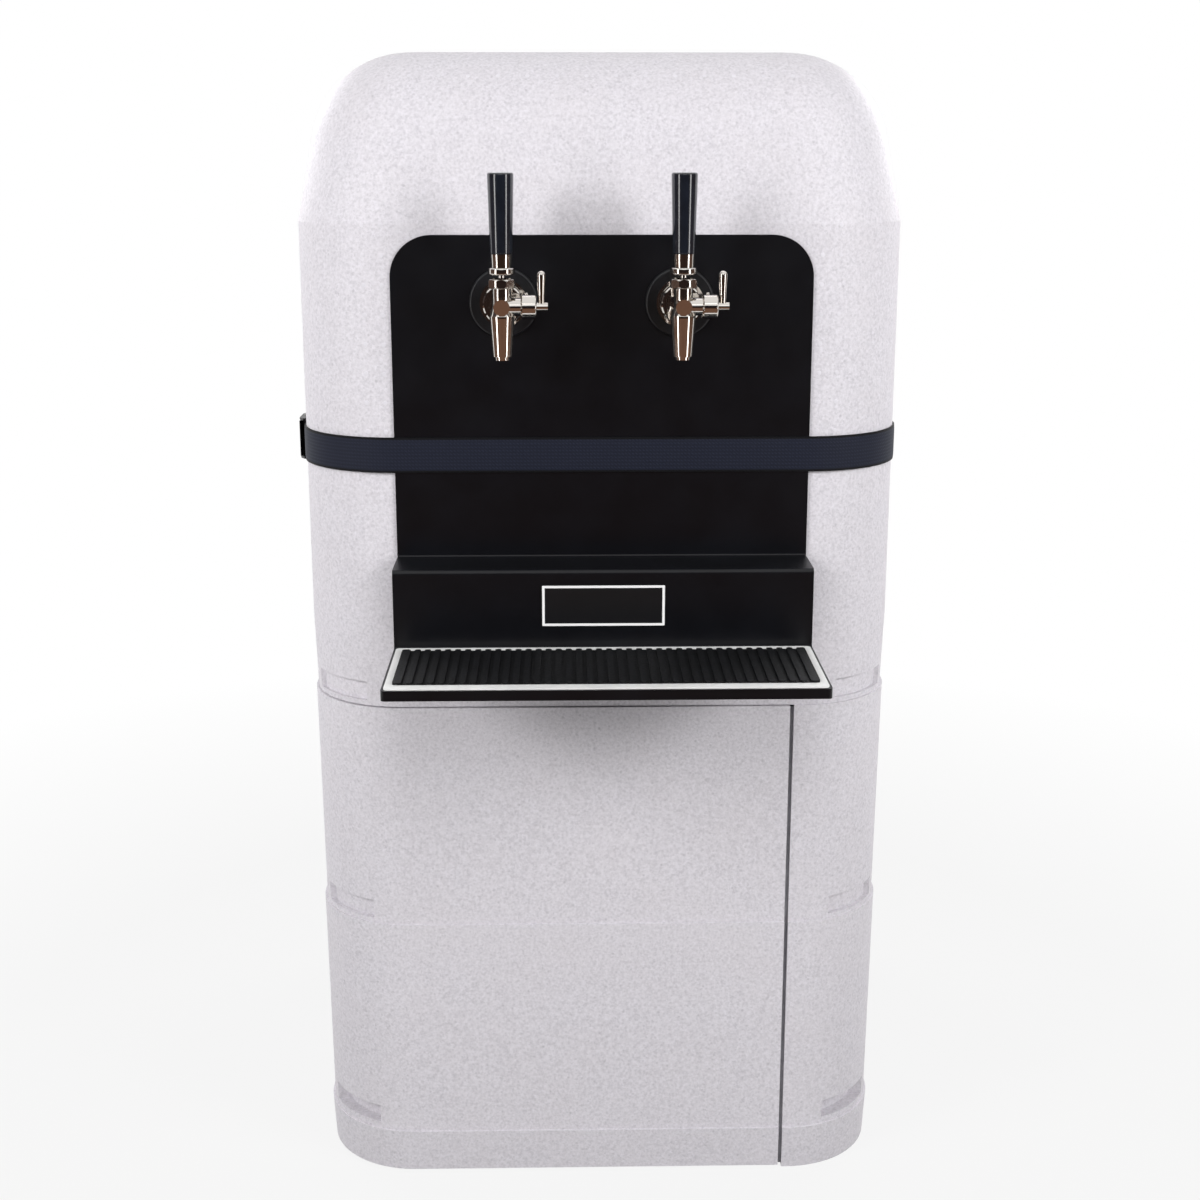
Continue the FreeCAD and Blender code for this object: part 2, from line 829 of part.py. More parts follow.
def crown_drawings(piece):
    """Sections up the hood's round top edge, at even turns of its arc."""
    lean = slope_angle(dim.lean_inset, dim.lean_height)
    turn = RIGHT_ANGLE - lean
    inset = dim.crown_radius * tangent(turn / 2)
    centre_x = half_width - dim.lean_inset - inset
    centre_y = half_depth - dim.lean_inset - inset
    centre_z = dim.body_height - dim.crown_radius
    start = dim.crown_radius * cosine(lean)
    drawings = []
    for place in range(CROWN_SECTIONS + 1):
        angle = lean + turn * place / CROWN_SECTIONS
        reach = dim.crown_radius * cosine(angle)
        corner = dim.crown_corner + (dim.corner_radius - dim.crown_corner) * reach / start
        drawing = piece.sketch("XY", centre_z + dim.crown_radius * sine(angle))
        drawings.append(drawing.plan(centre_x + reach, centre_y + reach, corner))
    return drawings


def add_crown(piece):
    """Upper walls that lean in, and the round edge that leads into the flat top."""
    shoulder = plan_of_body(piece.sketch("XY", lean_start), 0)
    crown = crown_drawings(piece)
    piece.loft([shoulder, crown[0]], ruled=True)
    first = crown_drawings(piece)[0]
    piece.loft([first] + crown[1:], ruled=False)


def cut_cavity(piece):
    """The room in the hood, narrower under the roof, and the seat for the tub's shelf."""
    piece.pocket(plan_of_body(piece.sketch("XY", lean_start), dim.wall), lean_start - seam_high)
    height = dim.lean_height - dim.roof_thickness
    piece.pocket(plan_of_body(piece.sketch("XY", lean_start), dim.wall), height, up=True,
                 taper=-slope_angle(dim.cavity_lean_inset, height))
    piece.pocket(plan_of_body(piece.sketch("XY", seam_high), dim.shelf_inset - dim.shelf_gap),
                 dim.shelf_thickness + dim.shelf_gap, up=True)


def cut_hatch(piece):
    """The filling hole in the roof, with a step for the lid's flange."""
    top = piece.sketch("XY", dim.body_height)
    top.plan(half_lid_x + dim.lid_gap, half_lid_y + dim.lid_gap, dim.lid_corner + dim.lid_gap)
    piece.pocket(top, dim.lid_flange)
    hole = piece.sketch("XY", dim.body_height)
    hole.plan(half_hatch_x, half_hatch_y, dim.hatch_corner)
    piece.pocket(hole, dim.roof_thickness + dim.overrun)


def cut_pipe_holes(piece):
    """Holes for the shanks in the front wall, and for the inlets and the drain in the rear wall."""
    front = piece.sketch("XZ")
    rear = piece.sketch("XZ")
    for place in tap_places:
        front.circle(place, tap_height, dim.shank_radius + dim.bore_play)
        rear.circle(place, tap_height, dim.inlet_radius + dim.bore_play)
    rear.circle(0, drain_height, dim.drain_radius + dim.bore_play)
    piece.pocket(front, half_depth + dim.overrun, up=True)
    piece.pocket(rear, half_depth + dim.overrun)


def hood():
    piece = moulding_block("hood", seam_high, dim.hood_draft_height)
    skirt_top = seam_high + dim.hood_draft_height
    piece.pad(plan_of_body(piece.sketch("XY", skirt_top), 0), lean_start - skirt_top)
    add_crown(piece)
    cut_cavity(piece)
    cut_tongue_groove(piece, seam_high)
    cut_finger_recesses(piece, seam_high + dim.recess_rise, dim.recess_depth_high)
    cut_hatch(piece)
    cut_pipe_holes(piece)
    keep(piece.body)


def top_lid():
    """A plug of foam with a flange, and a finger recess at each side."""
    piece = Piece("top_lid")
    top = piece.sketch("XY", dim.body_height)
    piece.pad(top.plan(half_lid_x, half_lid_y, dim.lid_corner), dim.lid_flange, down=True)
    plug = piece.sketch("XY", dim.body_height - dim.lid_flange)
    plug.plan(half_hatch_x - dim.lid_gap, half_hatch_y - dim.lid_gap, dim.hatch_corner - dim.lid_gap)
    piece.pad(plug, dim.lid_plug, down=True)
    grips = piece.sketch("XY", dim.body_height)
    for _, sign in SIDES:
        outer = (half_lid_x - dim.lid_grip_inset) * sign
        inner = outer - dim.lid_grip_width * sign
        ends = (outer, inner) if sign < 0 else (inner, outer)
        grips.rounded_rectangle(ends[0], -dim.lid_grip_length / 2, ends[1], dim.lid_grip_length / 2,
                                dim.lid_grip_corner)
    piece.pocket(grips, dim.lid_grip_depth)
    keep(piece.body)


def door_seal():
    """A rubber strip on the fixed jamb, seen in the slit beside the door."""
    piece = Piece("door_seal")
    jamb = slit_place + dim.slit_width / 2
    front = -(half_depth - dim.seal_inset)
    drawing = piece.sketch("XY", dim.seal_end_gap)
    drawing.rounded_rectangle(jamb - dim.seal_thickness, front, jamb, front + dim.seal_depth,
                              dim.core_gap)
    piece.pad(drawing, seam_high - dim.seal_end_gap * 2)
    keep(piece.body)


# Door hinges

def hinge_leaf(label, sign, knuckles):
    """One leaf of a butt hinge about its own pin axis, with knuckles at the heights given."""
    piece = Piece(label)
    seat = dim.hinge_axis_out + dim.hinge_seat_depth
    near_edge, far_edge = dim.hinge_leaf_gap, dim.hinge_reach
    bounds = (near_edge, far_edge) if sign > 0 else (-far_edge, -near_edge)
    plate = piece.sketch("XY", -dim.hinge_height / 2)
    plate.rectangle(seat - dim.hinge_plate, bounds[0], seat, bounds[1])
    piece.pad(plate, dim.hinge_height)
    for bottom, top in knuckles:
        strap = piece.sketch("XY", bottom)
        bridge = (0, near_edge) if sign > 0 else (-near_edge, 0)
        strap.rectangle(seat - dim.hinge_plate, bridge[0], dim.hinge_barrel, bridge[1])
        piece.pad(strap, top - bottom)
        barrel = piece.sketch("XY", bottom)
        piece.pad(barrel.circle(0, 0, dim.hinge_barrel), top - bottom)
    hole = piece.sketch("XY")
    hole.circle(0, 0, dim.hinge_pin + dim.hinge_pin_play)
    piece.pocket(hole, dim.hinge_height + dim.overrun, both=True)
    return piece


def hinge_pin_rod(label):
    """A hinge pin with a small round head."""
    piece = Piece(label)
    half_height = dim.hinge_height / 2
    profile = piece.sketch("XZ")
    profile.outline((0, -half_height), (dim.hinge_pin, -half_height), (dim.hinge_pin, half_height),
                    (dim.hinge_pin_head, half_height),
                    (dim.hinge_pin_head, half_height + dim.hinge_pin_head_height),
                    (0, half_height + dim.hinge_pin_head_height))
    piece.turn(profile)
    return piece


def hinges():
    """Two butt hinges on the left wall, one on each ring."""
    half_height = dim.hinge_height / 2
    half_knuckle = dim.hinge_knuckle / 2
    inner = half_knuckle + dim.hinge_knuckle_gap
    fixed_knuckles = ((-half_height, -inner), (inner, half_height))
    door_knuckles = ((-half_knuckle, half_knuckle),)
    axis = (-half_width - dim.hinge_axis_out, -hinge_line)
    fixed, moving, pins = [], [], []
    heights = {"low": seam_low + dim.hinge_low_rise, "high": seam_middle + dim.hinge_high_rise}
    for name, height in heights.items():
        fixed.append(hinge_leaf("fixed_leaf_" + name, 1, fixed_knuckles).place(*axis, height))
        moving.append(hinge_leaf("door_leaf_" + name, -1, door_knuckles).place(*axis, height))
        pins.append(hinge_pin_rod("pin_" + name).place(*axis, height))
    group("hinge_fixed_plates", fixed)
    group("hinge_door_plates", moving)
    group("hinge_pins", pins)


# Inside the hood

def tub_shelf():
    """The board under the ice tub, held between the upper ring and the hood."""
    piece = Piece("tub_shelf")
    piece.pad(plan_of_body(piece.sketch("XY", seam_high), dim.shelf_inset), dim.shelf_thickness)
    keep(piece.body)


def ice_tub():
    """An open tub with tapered walls, a rolled rim and a hole for the drain."""
    piece = Piece("ice_tub")
    height = tub_rim - shelf_top
    angle = slope_angle(dim.tub_taper, height)
    outside = piece.sketch("XY", tub_rim)
    piece.pad(outside.plan(half_tub_x, half_tub_y, dim.tub_corner), height, down=True, taper=-angle)
    edge = piece.sketch("XY", tub_rim)
    edge.plan(half_tub_x + dim.tub_rim_width, half_tub_y + dim.tub_rim_width,
              dim.tub_corner + dim.tub_rim_width)
    piece.pad(edge, dim.tub_rim_height, down=True)
    inside = piece.sketch("XY", tub_rim)
    inside.plan(half_tub_x - dim.tub_wall, half_tub_y - dim.tub_wall, dim.tub_corner - dim.tub_wall)
    piece.pocket(inside, height - dim.tub_wall, taper=-angle)
    drain = piece.sketch("XZ")
    drain.circle(0, drain_height, dim.drain_radius + dim.tongue_gap)
    piece.pocket(drain, half_depth)
    keep(piece.body)


def cold_plate():
    """A cast plate with the beer passages inside, on feet, with two stubs at the front and two behind."""
    piece = Piece("cold_plate")
    top = plate_underside + dim.plate_thickness
    slab = piece.sketch("XY", plate_underside)
    piece.pad(slab.plan(half_plate_x, half_plate_y, dim.plate_corner), dim.plate_thickness)
    piece.fillet(dim.plate_edge, lambda box: near(box.ZMin, top))
    feet = piece.sketch("XY", plate_underside)
    bosses = piece.sketch("XY", top)
    stubs = piece.sketch("XY", top)
    for sign_x, sign_y in CORNERS:
        corner_x = (half_plate_x - dim.plate_foot_inset - dim.plate_foot_width / 2) * sign_x
        corner_y = (half_plate_y - dim.plate_foot_inset - dim.plate_foot_width / 2) * sign_y
        feet.circle(corner_x, corner_y, dim.plate_foot_width / 2)
    for sign_y in (-1, 1):
        for place in tap_places:
            bosses.circle(place, stub_place * sign_y, dim.stub_boss_radius)
            stubs.circle(place, stub_place * sign_y, dim.stub_radius)
    piece.pad(feet, dim.plate_foot_height, down=True)
    piece.pad(bosses, dim.stub_boss_height)
    piece.pad(stubs, dim.stub_height)
    keep(piece.body)


def beer_line(label, sign_y, wall_end):
    """A hose that rises from a stub of the cold plate and bends over to a hose tail."""
    piece = Piece(label)
    low = plate_underside + dim.plate_thickness + dim.stub_boss_height + dim.line_end_gap
    place = stub_place * sign_y
    bend_start = tap_height - dim.line_bend
    bend_end = place + dim.line_bend * sign_y
    spine = piece.sketch("YZ")
    section = piece.sketch("XY", low)
    section.circle(0, place, dim.line_radius)
    section.circle(0, place, dim.line_bore)
    open_path(spine, (place, low), (place, bend_start), (bend_end, tap_height),
              (wall_end * sign_y, tap_height), dim.line_bend * -sign_y)
    piece.sweep(section, spine)
    straight = bend_start - low + wall_end - bend_end * sign_y
    length = straight.value + dim.line_bend.value * math.pi / 2
    area = math.pi * (dim.line_radius.value ** 2 - dim.line_bore.value ** 2)
    print("%s: volume over section times length %.4f" % (label, piece.body.Shape.Volume / (area * length)))
    return piece


def open_path(drawing, start, bend_start, bend_end, end, radius):
    """A straight run, a quarter bend and a second straight run."""
    turn = number_of(radius)
    centre = vector(*bend_start) + FreeCAD.Vector(-turn, 0, 0)
    angles = (0, math.pi / 2) if turn > 0 else (math.pi / 2, math.pi)
    circle = Part.Circle(centre, FreeCAD.Vector(0, 0, 1), abs(turn))
    drawing.sketch.addGeometry([Part.LineSegment(vector(*start), vector(*bend_start)),
                                Part.ArcOfCircle(circle, *angles),
                                Part.LineSegment(vector(*bend_end), vector(*end))], False)
    ends = (1, 2) if turn > 0 else (2, 1)
    drawing.sketch.addConstraint([Sketcher.Constraint("Coincident", 0, 2, 1, ends[0]),
                                  Sketcher.Constraint("Coincident", 1, ends[1], 2, 1)])
    for edge, spot, point in ((0, 1, start), (0, 2, bend_start), (2, 1, bend_end), (2, 2, end)):
        drawing.hold("DistanceX", edge, spot, point[0])
        drawing.hold("DistanceY", edge, spot, point[1])
    drawing.hold("Radius", 1, radius if turn > 0 else -radius)


def beer_lines():
    """Lines from the cold plate to both taps, and from both inlets to the cold plate."""
    inner_face = half_depth - dim.wall - dim.line_end_gap
    tap_end = inner_face - dim.shank_inside - dim.tail_flange - dim.tail_nut_lip
    inlet_end = inner_face - dim.inlet_inside
    for label, sign_y, wall_end in (("outlet_lines", -1, tap_end), ("inlet_lines", 1, inlet_end)):
        lines = [beer_line(label + "_" + side, sign_y, wall_end).place(place)
                 for (side, _), place in zip(SIDES, tap_places)]
        group(label, lines)


def barbed(start, length):
    """Points of a hose tail's outside, from its free end back to its root, with its barbs."""
    step = length / (BARBS * 2)
    rise, low = dim.tail_radius + dim.barb_rise, dim.tail_radius - dim.barb_rise
    points = []
    for place in range(BARBS):
        points.append((low, start + length - step * place))
        points.append((rise, start + length - step * (place + 1)))
    points.append((dim.tail_radius, start))
    return points


def inlet_fitting(label):
    """A bulkhead fitting: a threaded end and a flange outside, and a hose tail inside."""
    piece = Piece(label)
    tail_start = dim.wall + dim.inlet_inside
    profile = piece.sketch("XZ")
    profile.outline((dim.tail_bore, -dim.inlet_flange - dim.inlet_thread_length),
                    (dim.inlet_thread_radius, -dim.inlet_flange - dim.inlet_thread_length),
                    (dim.inlet_thread_radius, -dim.inlet_flange),
                    (dim.inlet_flange_radius, -dim.inlet_flange),
                    (dim.inlet_flange_radius, 0),
                    (dim.inlet_radius, 0),
                    (dim.inlet_radius, tail_start),
                    *reversed(barbed(tail_start, dim.inlet_tail_length)),
                    (dim.tail_bore, tail_start + dim.inlet_tail_length))
    piece.turn(profile)
    return piece


def hex_nut(label, radius, bore, thickness):
    """A plain hexagon nut about its own axis, with its corners turned off."""
    piece = Piece(label)
    drawing = piece.sketch("XY")
    piece.pad(drawing.polygon(6, radius), thickness)
    hole = piece.sketch("XY")
    piece.pocket(hole.circle(0, 0, bore), thickness, up=True)
    corner = radius * (1 - math.cos(math.pi / 6))
    ring = piece.sketch("XZ")
    ring.outline((radius - corner, thickness + dim.overrun), (radius - corner, thickness),
                 (radius + corner, thickness - corner), (radius + corner, thickness + dim.overrun))
    piece.bore(ring)
    return piece


def inlets():
    """Bulkhead fittings and their inner nuts, in line with the taps."""
    fittings, nuts = [], []
    for (side, _), x in zip(SIDES, tap_places):
        fittings.append(inlet_fitting("inlet_fitting_" + side).place(x, half_depth, tap_height, FORWARD))
        nut = hex_nut("inlet_nut_" + side, dim.inlet_nut_radius, dim.inlet_radius + dim.thread_play,
                      dim.inlet_nut_thickness)
        nuts.append(nut.place(x, half_depth - dim.wall, tap_height, FORWARD))
    group("inlet_fittings", fittings)
    group("inlet_nuts", nuts)


def drain():
    """A pipe from the tub through the rear wall, its nut and a quarter-turn cock."""
    pipe = Piece("drain_pipe")
    taper_share = (tub_rim - drain_height) / (tub_rim - shelf_top)
    tub_face = half_tub_y - dim.tub_wall - dim.tub_taper * taper_share
    flange_back = tub_face - dim.drain_flange_gap
    pipe_end = half_depth + dim.drain_outside
    profile = pipe.sketch("XZ")
    profile.outline((dim.drain_bore, flange_back - dim.drain_flange),
                    (dim.drain_flange_radius, flange_back - dim.drain_flange),
                    (dim.drain_flange_radius, flange_back), (dim.drain_radius, flange_back),
                    (dim.drain_radius, pipe_end), (dim.drain_bore, pipe_end))
    pipe.turn(profile)
    keep(pipe.place(z=drain_height, turn=BACKWARD))
    nut = hex_nut("drain_nut", dim.drain_nut_radius, dim.drain_radius + dim.thread_play,
                  dim.drain_nut_thickness)
    keep(nut.place(y=half_depth, z=drain_height, turn=BACKWARD))
    cock_start = pipe_end - dim.cock_overlap
    cock = Piece("drain_cock_body")
    profile = cock.sketch("XZ")
    shoulder = dim.cock_radius - dim.cock_end_radius
    body_end = dim.cock_length - dim.cock_end_length
    profile.outline((dim.drain_radius + dim.thread_play, 0), (dim.cock_radius, 0),
                    (dim.cock_radius, body_end - shoulder), (dim.cock_end_radius, body_end),
                    (dim.cock_end_radius, dim.cock_length), (dim.drain_bore, dim.cock_length),
                    (dim.drain_bore, dim.cock_overlap + dim.thread_play),
                    (dim.drain_radius + dim.thread_play, dim.cock_overlap + dim.thread_play))
    cock.turn(profile)
    stem_place = body_end / 2
    boss_top = dim.cock_radius + dim.cock_boss_height
    boss = cock.sketch("XZ", boss_top)
    boss.circle(0, stem_place, dim.cock_boss_radius)
    cock.pad(boss, boss_top - dim.cock_end_radius, down=True)
    hole = cock.sketch("XZ", boss_top)
    hole.circle(0, stem_place, dim.cock_stem_radius + dim.cock_stem_play)
    cock.pocket(hole, dim.cock_stem_depth + dim.cock_lever_gap)
    keep(cock.place(y=cock_start, z=drain_height, turn=BACKWARD))
    drain_lever(cock_start + stem_place, drain_height + boss_top)


def drain_lever(place, height):
    """A flat lever with a round thumb end, on a short stem."""
    piece = Piece("drain_cock_lever")
    low = dim.cock_lever_gap
    width = dim.cock_lever_width / 2
    arm = piece.sketch("XY", low)
    arm.rectangle(0, -width, dim.cock_lever_length - dim.cock_knob_radius, width)
    piece.pad(arm, dim.cock_lever_thickness)
    hub = piece.sketch("XY", low)
    piece.pad(hub.circle(0, 0, dim.cock_boss_radius), dim.cock_hub_thickness)
    thumb = piece.sketch("XY", low)
    thumb.circle(dim.cock_lever_length - dim.cock_knob_radius, 0, dim.cock_knob_radius)
    piece.pad(thumb, dim.cock_hub_thickness)
    stem = piece.sketch("XY", low)
    piece.pad(stem.circle(0, 0, dim.cock_stem_radius), dim.cock_stem_depth, down=True)
    keep(piece.place(y=place, z=height))


# Front of the hood

def font_panel():
    """One folded sheet: the tap plate, the ledge below it, the fascia and the tray with its lips."""
    piece = Piece("font_panel")
    sheet, bend = dim.sheet, dim.bend_radius
    outer = bend + sheet
    side = piece.sketch("YZ")
    side.outline((-half_depth, panel_top), (-panel_face, panel_top),
                 rounded(-panel_face, ledge_height, bend),
                 rounded(-fascia_face, ledge_height, outer),
                 rounded(-fascia_face, tray_height, bend),
                 (-tray_front, tray_height), (-tray_front, tray_height - dim.tray_lip),
                 (sheet - tray_front, tray_height - dim.tray_lip),
                 (sheet - tray_front, tray_height - sheet),
                 rounded(sheet - fascia_face, tray_height - sheet, outer),
                 rounded(sheet - fascia_face, ledge_height - sheet, bend),
                 rounded(-half_depth, ledge_height - sheet, outer))
    piece.pad(side, half_panel * 2, both=True)
    for sign in (-1, 1):
        cheek = piece.sketch("YZ", half_panel * sign)
        cheek.outline((-half_depth, tray_height - dim.tray_lip),
                      (-tray_front, tray_height - dim.tray_lip), (-tray_front, tray_height),
                      rounded(-fascia_face, tray_height, bend),
                      rounded(-fascia_face, ledge_height, outer),
                      (-half_depth - outer, ledge_height),
                      (-half_depth, ledge_height - sheet))
        piece.pad(cheek, sheet, down=sign > 0)
    piece.fillet(dim.panel_corner, lambda box: near(box.ZMin, panel_top) and on_side(box, half_panel))
    piece.fillet(dim.tray_corner, lambda box: near(box.YMin, -tray_front) and near(box.YMax, -tray_front)
                 and on_side(box, half_panel))
    holes = piece.sketch("XZ", half_depth)
    for place in tap_places:
        holes.circle(place, tap_height, dim.shank_radius + dim.bore_play)
    piece.pocket(holes, dim.overrun, up=True)
    keep(piece.body)


def mat_base():
    """The pale sheet that lies on the tray and shows as a border round the mat."""
    piece = Piece("mat_base")
    half_sheet = half_panel - dim.mat_base_inset
    drawing = piece.sketch("XY", tray_height)
    drawing.rounded_rectangle(-half_sheet, dim.mat_base_inset - tray_front, half_sheet,
                              -fascia_face - dim.bend_radius - dim.mat_base_back_gap, dim.mat_base_corner)
    piece.pad(drawing, dim.mat_base_thickness)
    keep(piece.body)


def drip_mat():
    """A thin rubber mat with raised ribs from front to back, and a wider bar at each side."""
    piece = Piece("drip_mat")
    bottom = tray_height + dim.mat_base_thickness
    half_mat = half_panel - dim.mat_side_border
    front, back = dim.mat_front_border - tray_front, -fascia_face - dim.mat_back_border
    sheet = piece.sketch("XY", bottom)
    sheet.rounded_rectangle(-half_mat, front, half_mat, back, dim.rib_width / 2)
    piece.pad(sheet, dim.mat_sheet)
    first = dim.rib_bar + dim.rib_edge_gap - half_mat
    run = -first * 2 - dim.rib_width
    bars = piece.sketch("XY", bottom + dim.mat_sheet)
    bars.rounded_rectangle(-half_mat, front, dim.rib_bar - half_mat, back, dim.rib_width / 2)
    bars.rounded_rectangle(half_mat - dim.rib_bar, front, half_mat, back, dim.rib_width / 2)
    piece.pad(bars, dim.rib_height)
    rib = piece.sketch("XY", bottom + dim.mat_sheet)
    rib_corner = dim.rib_width * RIB_CORNER_SHARE
    rib.rounded_rectangle(first, front, first + dim.rib_width, back, rib_corner)
    piece.repeat(piece.pad(rib, dim.rib_height), "H_Axis", run, RIB_COUNT)
    keep(piece.body)


def badge_plate():
    """A small plain plate on the fascia."""
    piece = Piece("badge_plate")
    half_badge, rise = dim.badge_width / 2, dim.badge_height / 2
    middle = tray_height + dim.badge_rise
    drawing = piece.sketch("XZ", fascia_face)
    drawing.rounded_rectangle(-half_badge, middle - rise, half_badge, middle + rise, dim.badge_corner)
    piece.pad(drawing, dim.badge_thickness)
    keep(piece.body)


# Strap and buckle

def strap_webbing():
    """A closed band round the hood that passes over the tap plate."""
    piece = Piece("strap_webbing")
    inner_x = half_width + dim.strap_gap
    drawing = piece.sketch("XY", strap_height - dim.strap_width / 2)
    for layer in (dim.strap_thickness, 0):
        drawing.rounded_rectangle(-inner_x - layer, -panel_face - dim.strap_gap - layer, inner_x + layer,
                                  half_depth + dim.strap_gap + layer,
                                  dim.corner_radius + dim.strap_gap + layer)
    piece.pad(drawing, dim.strap_width)
    keep(piece.body)


def buckle():
    """A cam buckle: a frame with two cheeks, the pin across them and the cam lever on it."""
    x = -(half_width + dim.strap_gap * 2 + dim.strap_thickness)
    spot = {"x": x, "y": -dim.buckle_place, "z": strap_height}
    half_length, rise = dim.buckle_length / 2, dim.buckle_height / 2
    frame = Piece("buckle_frame")
    side = frame.sketch("XY")
    side.outline((0, -half_length), (0, half_length), (-dim.buckle_end_depth, half_length),
                 (-dim.buckle_depth, half_length - dim.buckle_chamfer),
                 (-dim.buckle_depth, dim.buckle_chamfer - half_length),
                 (-dim.buckle_end_depth, -half_length))
    frame.pad(side, dim.buckle_height, both=True)
    gap = dim.buckle_height - dim.buckle_cheek * 2
    channel = frame.sketch("XY")
    channel.rectangle(-dim.buckle_depth - dim.overrun, -half_length - dim.overrun, -dim.buckle_base,
                      half_length + dim.overrun)
    frame.pocket(channel, gap, both=True)
    holes = frame.sketch("XY")
    holes.circle(-dim.buckle_pin_out, dim.buckle_pin_back, dim.buckle_pin_radius + dim.buckle_pin_play)
    frame.pocket(holes, dim.buckle_height + dim.overrun, both=True)
    keep(frame.place(**spot))
    pin = Piece("buckle_pin")
    rod = pin.sketch("XY")
    rod.circle(-dim.buckle_pin_out, dim.buckle_pin_back, dim.buckle_pin_radius)
    pin.pad(rod, dim.buckle_height, both=True)
    keep(pin.place(**spot))
    cam = Piece("buckle_cam")
    cam_width = gap - dim.cam_side_gap * 2
    hub = cam.sketch("XY")
    hub.circle(0, 0, dim.cam_hub)
    cam.pad(hub, cam_width, both=True)
    arm = cam.sketch("XY")
    arm.outline((-dim.cam_thickness, 0), (-dim.cam_thickness, -dim.cam_length),
                (0, dim.cam_thickness - dim.cam_length), (0, 0))
    cam.pad(arm, cam_width, both=True)
    bore = cam.sketch("XY")
    bore.circle(0, 0, dim.buckle_pin_radius + dim.buckle_pin_play)
    cam.pocket(bore, dim.buckle_height, both=True)
    spot["x"] = x - dim.buckle_pin_out
    spot["y"] = dim.buckle_pin_back - dim.buckle_place
    keep(cam.place(**spot))


# Taps

def turned(label, *points):
    """A turned piece about its own Z axis. Each point is a radius and a height."""
    piece = Piece(label)
    piece.turn(piece.sketch("XZ").outline(*points))
    return piece


def shank(label):
    """A threaded tube through the wall. Its origin is on the tap plate's face, and Z points forward."""
    rear = -(dim.sheet + dim.wall + dim.shank_inside)
    shoulder = dim.flange_thickness + dim.shank_shoulder
    collar = dim.shank_front - dim.shank_collar
    return turned(label, (dim.shank_bore, rear), (dim.shank_radius, rear),
                  (dim.shank_radius, dim.flange_thickness),
                  (dim.shank_shoulder_radius, dim.flange_thickness),
                  (dim.shank_shoulder_radius, shoulder), (dim.shank_radius, shoulder),
                  (dim.shank_radius, collar), (dim.shank_collar_radius, collar),
                  (dim.shank_collar_radius, dim.shank_front), (dim.shank_bore, dim.shank_front))


def flange(label):
    """The black rosette between the shank's shoulder and the tap plate."""
    edge = dim.flange_edge
    bore = dim.shank_radius + dim.thread_play
    slope = dim.flange_thickness - edge
    return turned(label, (bore, 0), (dim.flange_radius, 0), (dim.flange_radius, slope),
                  arc_to(dim.flange_radius - edge, dim.flange_thickness, edge),
                  (bore, dim.flange_thickness))


def coupling_nut(label):
    """The round nut that draws the faucet to the shank, with notches for a hook spanner."""
    start, end = dim.coupling_start, dim.coupling_start + dim.coupling_length
    lip_bore = dim.shank_radius + dim.coupling_play
    bore = dim.barrel_radius + dim.coupling_play
    bevel = dim.coupling_radius - dim.coupling_back_radius
    piece = turned(label, (lip_bore, start), (dim.coupling_back_radius, start),
                   (dim.coupling_radius, start + bevel), (dim.coupling_radius, end - bevel / 2),
                   (dim.coupling_radius - bevel / 2, end), (bore, end),
                   (bore, start + dim.coupling_lip), (lip_bore, start + dim.coupling_lip))
    notch = piece.sketch("XY", start)
    notch.circle(dim.coupling_radius, 0, dim.coupling_notch_radius)
    piece.repeat_round(piece.pocket(notch, dim.coupling_length, up=True), "N_Axis", COUPLING_NOTCHES)
    return piece


def tail_piece(label):
    """A flanged hose tail that the tail nut holds against the shank. Z points into the hood."""
    flange_end = dim.tail_flange
    return turned(label, (dim.tail_bore, 0), (dim.tail_flange_radius, 0),
                  (dim.tail_flange_radius, flange_end),
                  *reversed(barbed(flange_end, dim.tail_length)),
                  (dim.tail_bore, flange_end + dim.tail_length))


def tail_nut(label):
    """A hexagon nut with a lip, screwed on the shank's end. Z points into the hood."""
    lip_end = dim.tail_flange + dim.tail_nut_lip
    piece = Piece(label)
    body = piece.sketch("XY", lip_end)
    piece.pad(body.polygon(6, dim.tail_nut_radius), dim.tail_nut_length, down=True)
    thread = piece.sketch("XY", dim.tail_flange)
    piece.pocket(thread.circle(0, 0, dim.shank_radius + dim.thread_play), dim.tail_nut_length)
    mouth = piece.sketch("XY", lip_end)
    piece.pocket(mouth.circle(0, 0, dim.tail_radius + dim.barb_rise * 2), dim.tail_nut_length)
    return piece


